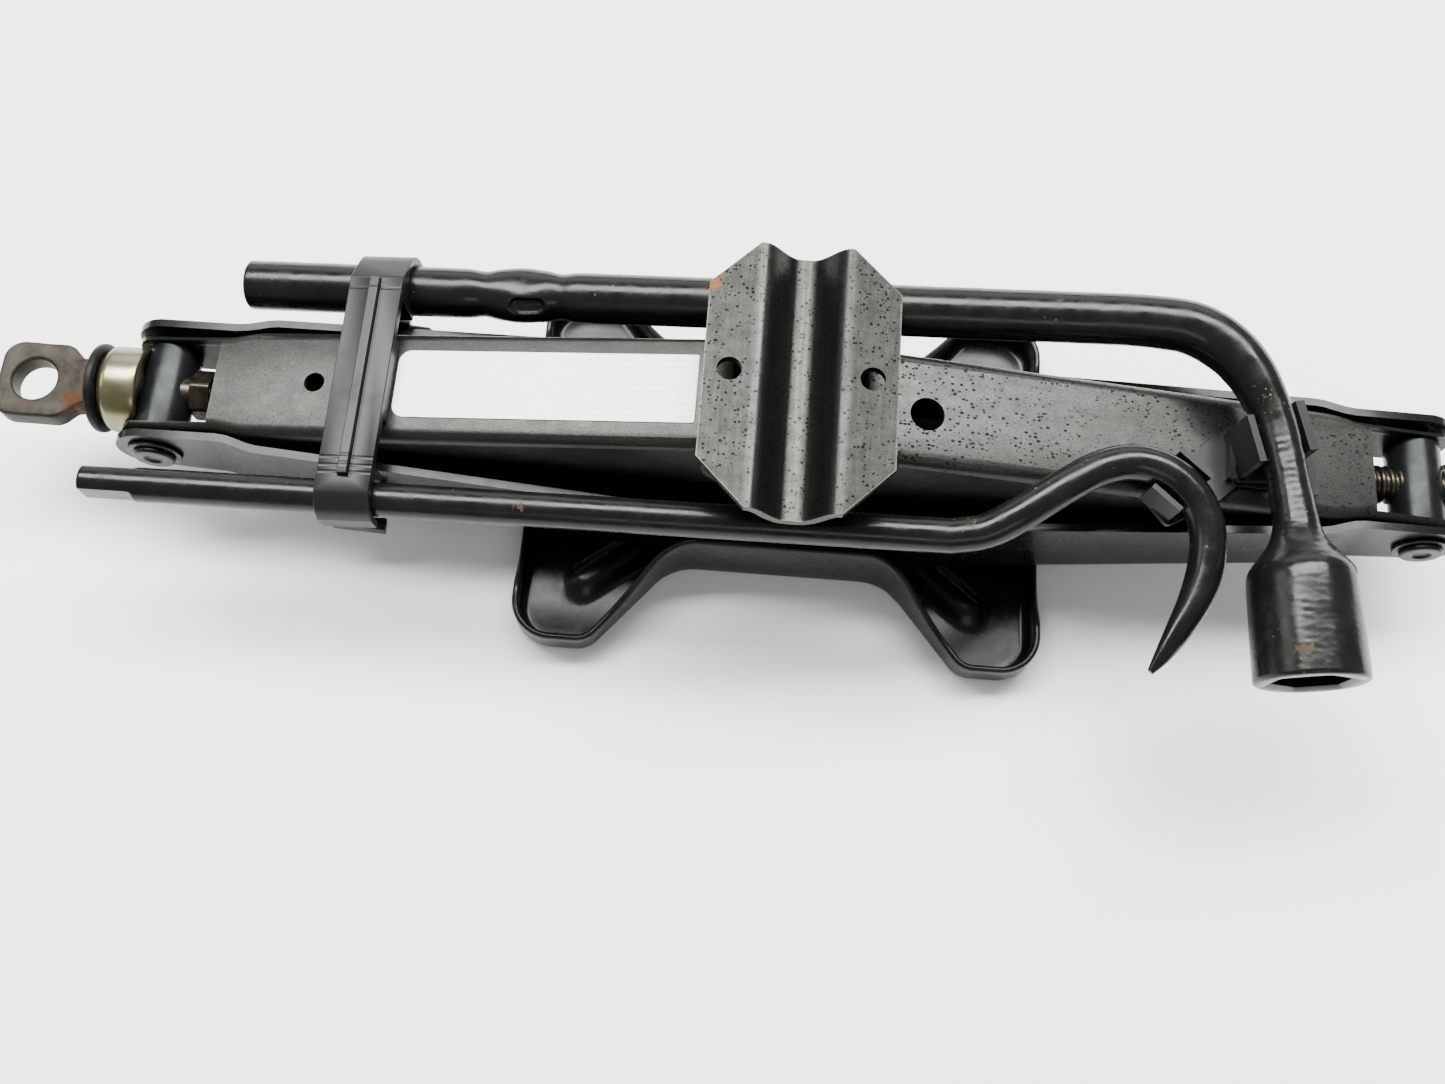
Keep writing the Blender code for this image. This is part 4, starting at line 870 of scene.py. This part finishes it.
def buildEye():
    # section(t) goes round from the outer edge over the face to the hole and back, blended by angle
    shape = eyeShape
    holeX, holeRadius = shape["hole"]
    loop = cornerLoop(shape["corners"], 0.3)
    offset = loop - np.array([holeX, 0])
    around = np.arctan2(offset[:, 1], offset[:, 0])
    order = np.argsort(around)
    angle = np.linspace(-np.pi, np.pi, shape["sides"], endpoint=False)
    reach = np.interp(angle, around[order], np.linalg.norm(offset, axis=1)[order], period=2 * np.pi)
    edge, half = shape["edge"], shape["half"]
    turn = np.linspace(0, np.pi / 2, 6)
    outerR = reach[None] - (edge - edge * np.cos(turn))[:, None]
    middle = np.stack([outerR[-1] * (1 - s) + (holeRadius + edge) * s for s in (0.35, 0.7)])
    innerR = np.repeat((holeRadius + edge - edge * np.sin(turn))[:, None], len(angle), 1)
    innerZ = half - edge + edge * np.cos(turn)
    radius = np.vstack([outerR, middle, innerR])
    height = np.concatenate([half - edge + edge * np.sin(turn), [half, half], innerZ])
    radius = np.vstack([radius, radius[::-1]])
    height = np.concatenate([height, -height[::-1]])
    x = holeX + radius * np.cos(angle)
    y = radius * np.sin(angle)
    wobble = 0.12 * waves(x, y, 4, 0.2, 0.7)
    slim = 1 + 0.35 * ease(-236.5, -232.0, x)
    z = np.sign(height)[:, None] * (np.abs(height)[:, None] * slim + wobble)
    gridPiece("driveEye", np.stack([x, y, z + trunnionZ], -1), "screw", looks["rustySteel"],
              ["drive_eye"], True, 50)


buildEye()
print("screw made")

# lug wrench

wrenchShape = {"start": (-183.0, 38.53, 50.28), "end": (96.0, 34.8, 77.2), "mouth": (156.4, -78.0, 71.6),
               "tube": 8.15, "hex": 10.5, "hexDepth": 19.0, "step": 0.75, "fineStep": 0.4, "sides": 96,
               "bend": ((96.0, 34.8, 77.2, 8.15), (105.0, 34.75, 77.8, 8.2), (113.5, 34.4, 78.1, 8.3),
                        (121.5, 33.5, 78.2, 8.4), (129.0, 30.6, 78.1, 8.4), (136.0, 25.4, 77.95, 8.1),
                        (141.0, 19.0, 77.7, 7.6), (144.4, 12.4, 77.4, 7.0), (147.4, 5.0, 77.0, 6.35),
                        (149.6, -4.0, 76.4, 6.2), (151.8, -18.0, 75.6, 6.25), (153.4, -30.0, 74.8, 6.9))}


def buildWrench():
    shape = wrenchShape
    start, end, mouth = (np.array(shape[key]) for key in ("start", "end", "mouth"))
    straight = straightRun(start, end, shape["tube"], 60)
    bend = splinePath(shape["bend"], 8)
    last = bend[-1, :3]
    down = unit(mouth - last)
    total = np.linalg.norm(mouth - last)
    reach = np.array([2.5, 5.0, 7.5, 10.0, 12.5, 14.5, 17.0, 22.0, 30.0, 40.0, total - 1.2])
    width = np.array([7.5, 8.6, 10.2, 12.2, 14.2, 15.4, 15.9, 16.1, 16.3, 16.5, 16.6])
    socket = np.column_stack([last + reach[:, None] * down, width])
    coarse = evenPath(np.vstack([straight, bend[:1]]), shape["step"])
    fine = evenPath(np.vstack([bend, splinePath(socket, 5)]), shape["fineStep"])
    path = np.vstack([coarse[:-1], fine])
    centre, size = path[:, :3], path[:, 3]
    angle = circle(shape["sides"])
    radius = np.repeat(size[:, None], shape["sides"], 1)

    # squeezed stretch of the tube: wider sideways, lower in height, with a slot on its upper front side
    x, onTube = centre[:, 0], (centre[:, 0] < 90)
    squeeze = np.where(onTube, np.exp(-((x + 91.5) / 7.5) ** 2), 0)
    pinches = np.exp(-((x + 104.0) / 3.6) ** 2) + np.exp(-((x + 78.5) / 3.4) ** 2)
    waist = np.where(onTube, pinches, 0)
    sideways = np.cos(angle)[None] ** 2
    radius += squeeze[:, None] * (1.15 * sideways - 1.0 * (1 - sideways)) - waist[:, None] * 0.75
    aim = math.radians(38)
    across = (angle[None] - aim + np.pi) % (2 * np.pi) - np.pi
    slotX = np.clip(np.abs(x + 88.5)[:, None] - 3.4, 0, None)
    slotGap = np.hypot(slotX, across * 7.0) - 1.9
    radius -= np.where(onTube[:, None], 1.5 * (1 - ease(-0.5, 0.5, slotGap)), 0)

    # forged neck and socket: fine ridges across the neck, blotchy scale on the socket
    along = lengthAlong(centre)
    girth = angle[None] * size[:, None]
    neck = np.where(onTube, 0, ease(-8, 4, -centre[:, 1]) * ease(-52, -38, centre[:, 1]))
    body = np.where(onTube, 0, ease(36, 46, -centre[:, 1]))
    ridges = waves(along[:, None] * 2.4, girth * 0.25, 11, 0.9, 2.2, 20)
    scaleBumps = waves(along[:, None], girth * 1.1, 23, 1.0, 4.2, 50)
    radius += neck[:, None] * 0.024 * ridges + (neck * 0.012 + body * 0.021)[:, None] * scaleBumps
    radius += np.where(onTube, 0.02, 0.03)[:, None] * waves(along[:, None], girth, 5, 0.3, 0.9)

    rings = sweepRings(centre, radius)
    # rounded tube end, rounded mouth, then the hexagon hole and its floor
    turn = np.linspace(0, np.pi / 2, 5)[1:]
    tail = unit(start - end)
    endRound = 0.9
    endRings = [rings[0] + tail * endRound * math.sin(t)
                + (centre[0] - rings[0]) / shape["tube"] * endRound * (1 - math.cos(t)) for t in turn]
    endDish = [centre[0] + (endRings[-1] - centre[0]) * k - tail * sink
               for k, sink in ((0.6, 0.0), (0.25, endRound * 0.3))]
    final, axisPoint = rings[-1], centre[-1]
    outward = (final - axisPoint)
    outward /= np.linalg.norm(outward, axis=1)[:, None]
    lip = [final + down * 1.2 * math.sin(t) - outward * 1.3 * (1 - math.cos(t)) for t in turn]
    hexFace = hexagonRadius(shape["hex"], angle)
    chamfer = axisPoint + down * 1.2 + outward * (np.minimum(hexFace + 1.6, 13.4))[:, None]
    holeRings = [axisPoint + down * (1.2 - d) + outward * (hexFace * k)[:, None]
                 for d, k in ((1.0, 1.0), (4.0, 1.0), (9.0, 1.0), (14.0, 1.0), (shape["hexDepth"], 1.0),
                              (shape["hexDepth"] + 1.5, 0.55))]
    points = np.concatenate([np.stack(endDish[::-1] + endRings[::-1]), rings,
                             np.stack(lip + [chamfer] + holeRings)])
    gridPiece("lugWrench", points, "wrench", looks["toolBlack"], ["lug_wrench"],
              sharpAngle=48)


buildWrench()
print("wrench made")

# hook handle

hookShape = {"start": (-220.5, -38.6, 57.0), "end": (50.0, -38.6, 67.0), "rod": 5.5, "flat": 3.9,
             "flatEnd": -204.0, "step": 0.7, "sides": 64,
             "bend": ((50.0, -38.6, 67.0, 5.5), (60.0, -37.0, 69.0, 5.5), (70.0, -31.8, 72.2, 5.5),
                      (83.0, -22.8, 75.2, 5.5), (94.5, -15.8, 75.8, 5.5), (105.5, -13.1, 75.4, 5.5),
                      (116.0, -15.9, 74.8, 5.5), (123.6, -22.9, 73.6, 5.5), (127.2, -32.0, 72.0, 5.5),
                      (127.3, -42.0, 70.0, 5.5), (124.7, -52.0, 68.0, 5.1), (120.2, -61.5, 66.2, 4.0),
                      (115.2, -70.0, 65.0, 2.5), (111.0, -76.2, 64.2, 0.9))}


def buildHook():
    shape = hookShape
    start, end = np.array(shape["start"]), np.array(shape["end"])
    straight = straightRun(start, end, shape["rod"], 50)
    path = evenPath(np.vstack([straight, splinePath(shape["bend"], 9)]), shape["step"])
    centre, size = path[:, :3], path[:, 3]
    angle = circle(shape["sides"])
    radius = np.repeat(size[:, None], shape["sides"], 1)
    # milled tang: the circle cut by two flats across the side direction
    flat = shape["flat"] / np.maximum(np.abs(np.cos(angle)), 1e-3)
    milled = 1 - ease(shape["flatEnd"] - 1.2, shape["flatEnd"], centre[:, 0])
    milled = np.where(centre[:, 0] < -150, milled, 0)[:, None]
    radius = radius * (1 - milled) + np.minimum(radius, flat[None]) * milled
    # tip drawn out to a blunt edge: narrower across than in height
    point = np.where(centre[:, 1] < -50, ease(50, 74, -centre[:, 1]), 0)[:, None]
    radius *= 1 + point * 0.22 * np.cos(2 * (angle - 0.6))[None]
    along = lengthAlong(centre)
    radius += 0.02 * waves(along[:, None], angle[None] * 5.5, 8, 0.3, 0.9)
    rings = sweepRings(centre, radius)
    nose = unit(start - end)
    turn = np.linspace(0, np.pi / 2, 5)[1:]
    endRings = [centre[0] + (rings[0] - centre[0]) * (1 - 0.13 * (1 - math.cos(t)))
                + nose * 0.7 * math.sin(t) for t in turn]
    points = np.concatenate([np.stack(endRings[::-1]), rings])
    gridPiece("hookHandle", points, "handle", looks["toolBlack"], ["hook_handle"],
              sharpAngle=40)


buildHook()
print("hook made")

# strap, keeper, bracket and label

strapHoop = {"near": 11.5, "far": 17.0, "grow": 0.65}


def widenHoop(piece):
    # points near the tube's line move straight out from it: shift(d) = grow * (1 - ease(near, far, d))
    start, end = (np.array(wrenchShape[key]) for key in ("start", "end"))
    line = unit(end - start)
    for vertex in piece.data.vertices:
        offset = np.array(vertex.co) / mm - start
        offset = offset - line * (offset @ line)
        distance = np.linalg.norm(offset)
        shift = strapHoop["grow"] * (1 - ease(strapHoop["near"], strapHoop["far"], distance))
        vertex.co = np.array(vertex.co) + offset / distance * shift * mm


widenHoop(refineNode("strap", "strap_body", looks["strapPlastic"], 0.4, 2))
refineNode("strap_keeper", "lower_left", looks["moldedPlastic"], 0.6, 3)
refineNode("strap_hinge_pin", "lower_left", looks["moldedPlastic"], 0.3, 2)
refineNode("tool_bracket", "upper_right", looks["moldedPlastic"], 0.8, 3)
refineNode("label", "upper_left", looks["whiteFilm"], 0)
print("strap and bracket made")

# floor, lights and camera

studio = {"floorSize": 6.0, "floorColor": (0.93, 0.93, 0.925), "world": 0.42, "aim": (0, 0, 0.05),
          "lights": (("backBox", (-0.12, 0.78, 1.85), (2.7, 0.72), 215.0),
                     ("wallBox", (0.0, 2.4, 1.0), (3.2, 1.2), 30.0),
                     ("frontBox", (0.3, -1.9, 1.5), (1.6, 0.5), 8.0),
                     ("leftBox", (-1.9, 0.2, 1.1), (0.8, 0.8), 10.0))}
view = {"azimuth": 0.678, "elevation": 70.32, "roll": 3.708, "lens": 36.28, "distance": 0.46214,
        "target": (-0.01978, -0.0401, 0.05)}


def buildStudio():
    size = studio["floorSize"]
    corners = np.array([(-size, -size, 0), (size, -size, 0), (size, size, 0), (-size, size, 0)]) / mm
    mesh = makeMesh("floor", corners - np.array([0, 0, 0.05]), np.array([[0, 1, 2, 3]]))
    floor = bpy.data.objects.new("floor", mesh)
    bpy.context.scene.collection.objects.link(floor)
    material, tree, shader, place = newMaterial("floorPaper", 0.0, 0.75, 0.2)
    drift = noiseNode(tree, place, 1.5, 2.0)
    shade = tuple(0.97 * c for c in studio["floorColor"])
    tree.links.new(mixColors(tree, drift, studio["floorColor"], shade), shader.inputs["Base Color"])
    mesh.materials.append(material)
    for name, position, (width, depth), power in studio["lights"]:
        light = bpy.data.lights.new(name, "AREA")
        light.shape, light.size, light.size_y, light.energy = "RECTANGLE", width, depth, power
        lamp = bpy.data.objects.new(name, light)
        lamp.location = position
        toLamp = Vector(position) - Vector(studio["aim"])
        lamp.rotation_euler = toLamp.to_track_quat("Z", "Y").to_euler()
        bpy.context.scene.collection.objects.link(lamp)
    world = bpy.data.worlds.new("studio")
    world.use_nodes = True
    sky = world.node_tree.nodes["Background"]
    sky.inputs[0].default_value = (1.0, 1.0, 1.0, 1.0)
    sky.inputs[1].default_value = studio["world"]
    bpy.context.scene.world = world


def placeCamera():
    azimuth, elevation, roll = (math.radians(view[key]) for key in ("azimuth", "elevation", "roll"))
    back = Vector((math.sin(azimuth) * math.cos(elevation), -math.cos(azimuth) * math.cos(elevation),
                   math.sin(elevation)))
    right = Vector((math.cos(azimuth), math.sin(azimuth), 0))
    up = back.cross(right)
    turnedRight = right * math.cos(roll) + up * math.sin(roll)
    turnedUp = up * math.cos(roll) - right * math.sin(roll)
    camera = bpy.data.cameras.new("camera")
    camera.sensor_width = 36.0
    camera.lens = view["lens"]
    camera.clip_start, camera.clip_end = 0.01, 30.0
    holder = bpy.data.objects.new("camera", camera)
    axes = Matrix((turnedRight, turnedUp, back)).transposed().to_4x4()
    holder.matrix_world = Matrix.Translation(Vector(view["target"]) + back * view["distance"]) @ axes
    bpy.context.scene.collection.objects.link(holder)
    bpy.context.scene.camera = holder


buildStudio()
placeCamera()
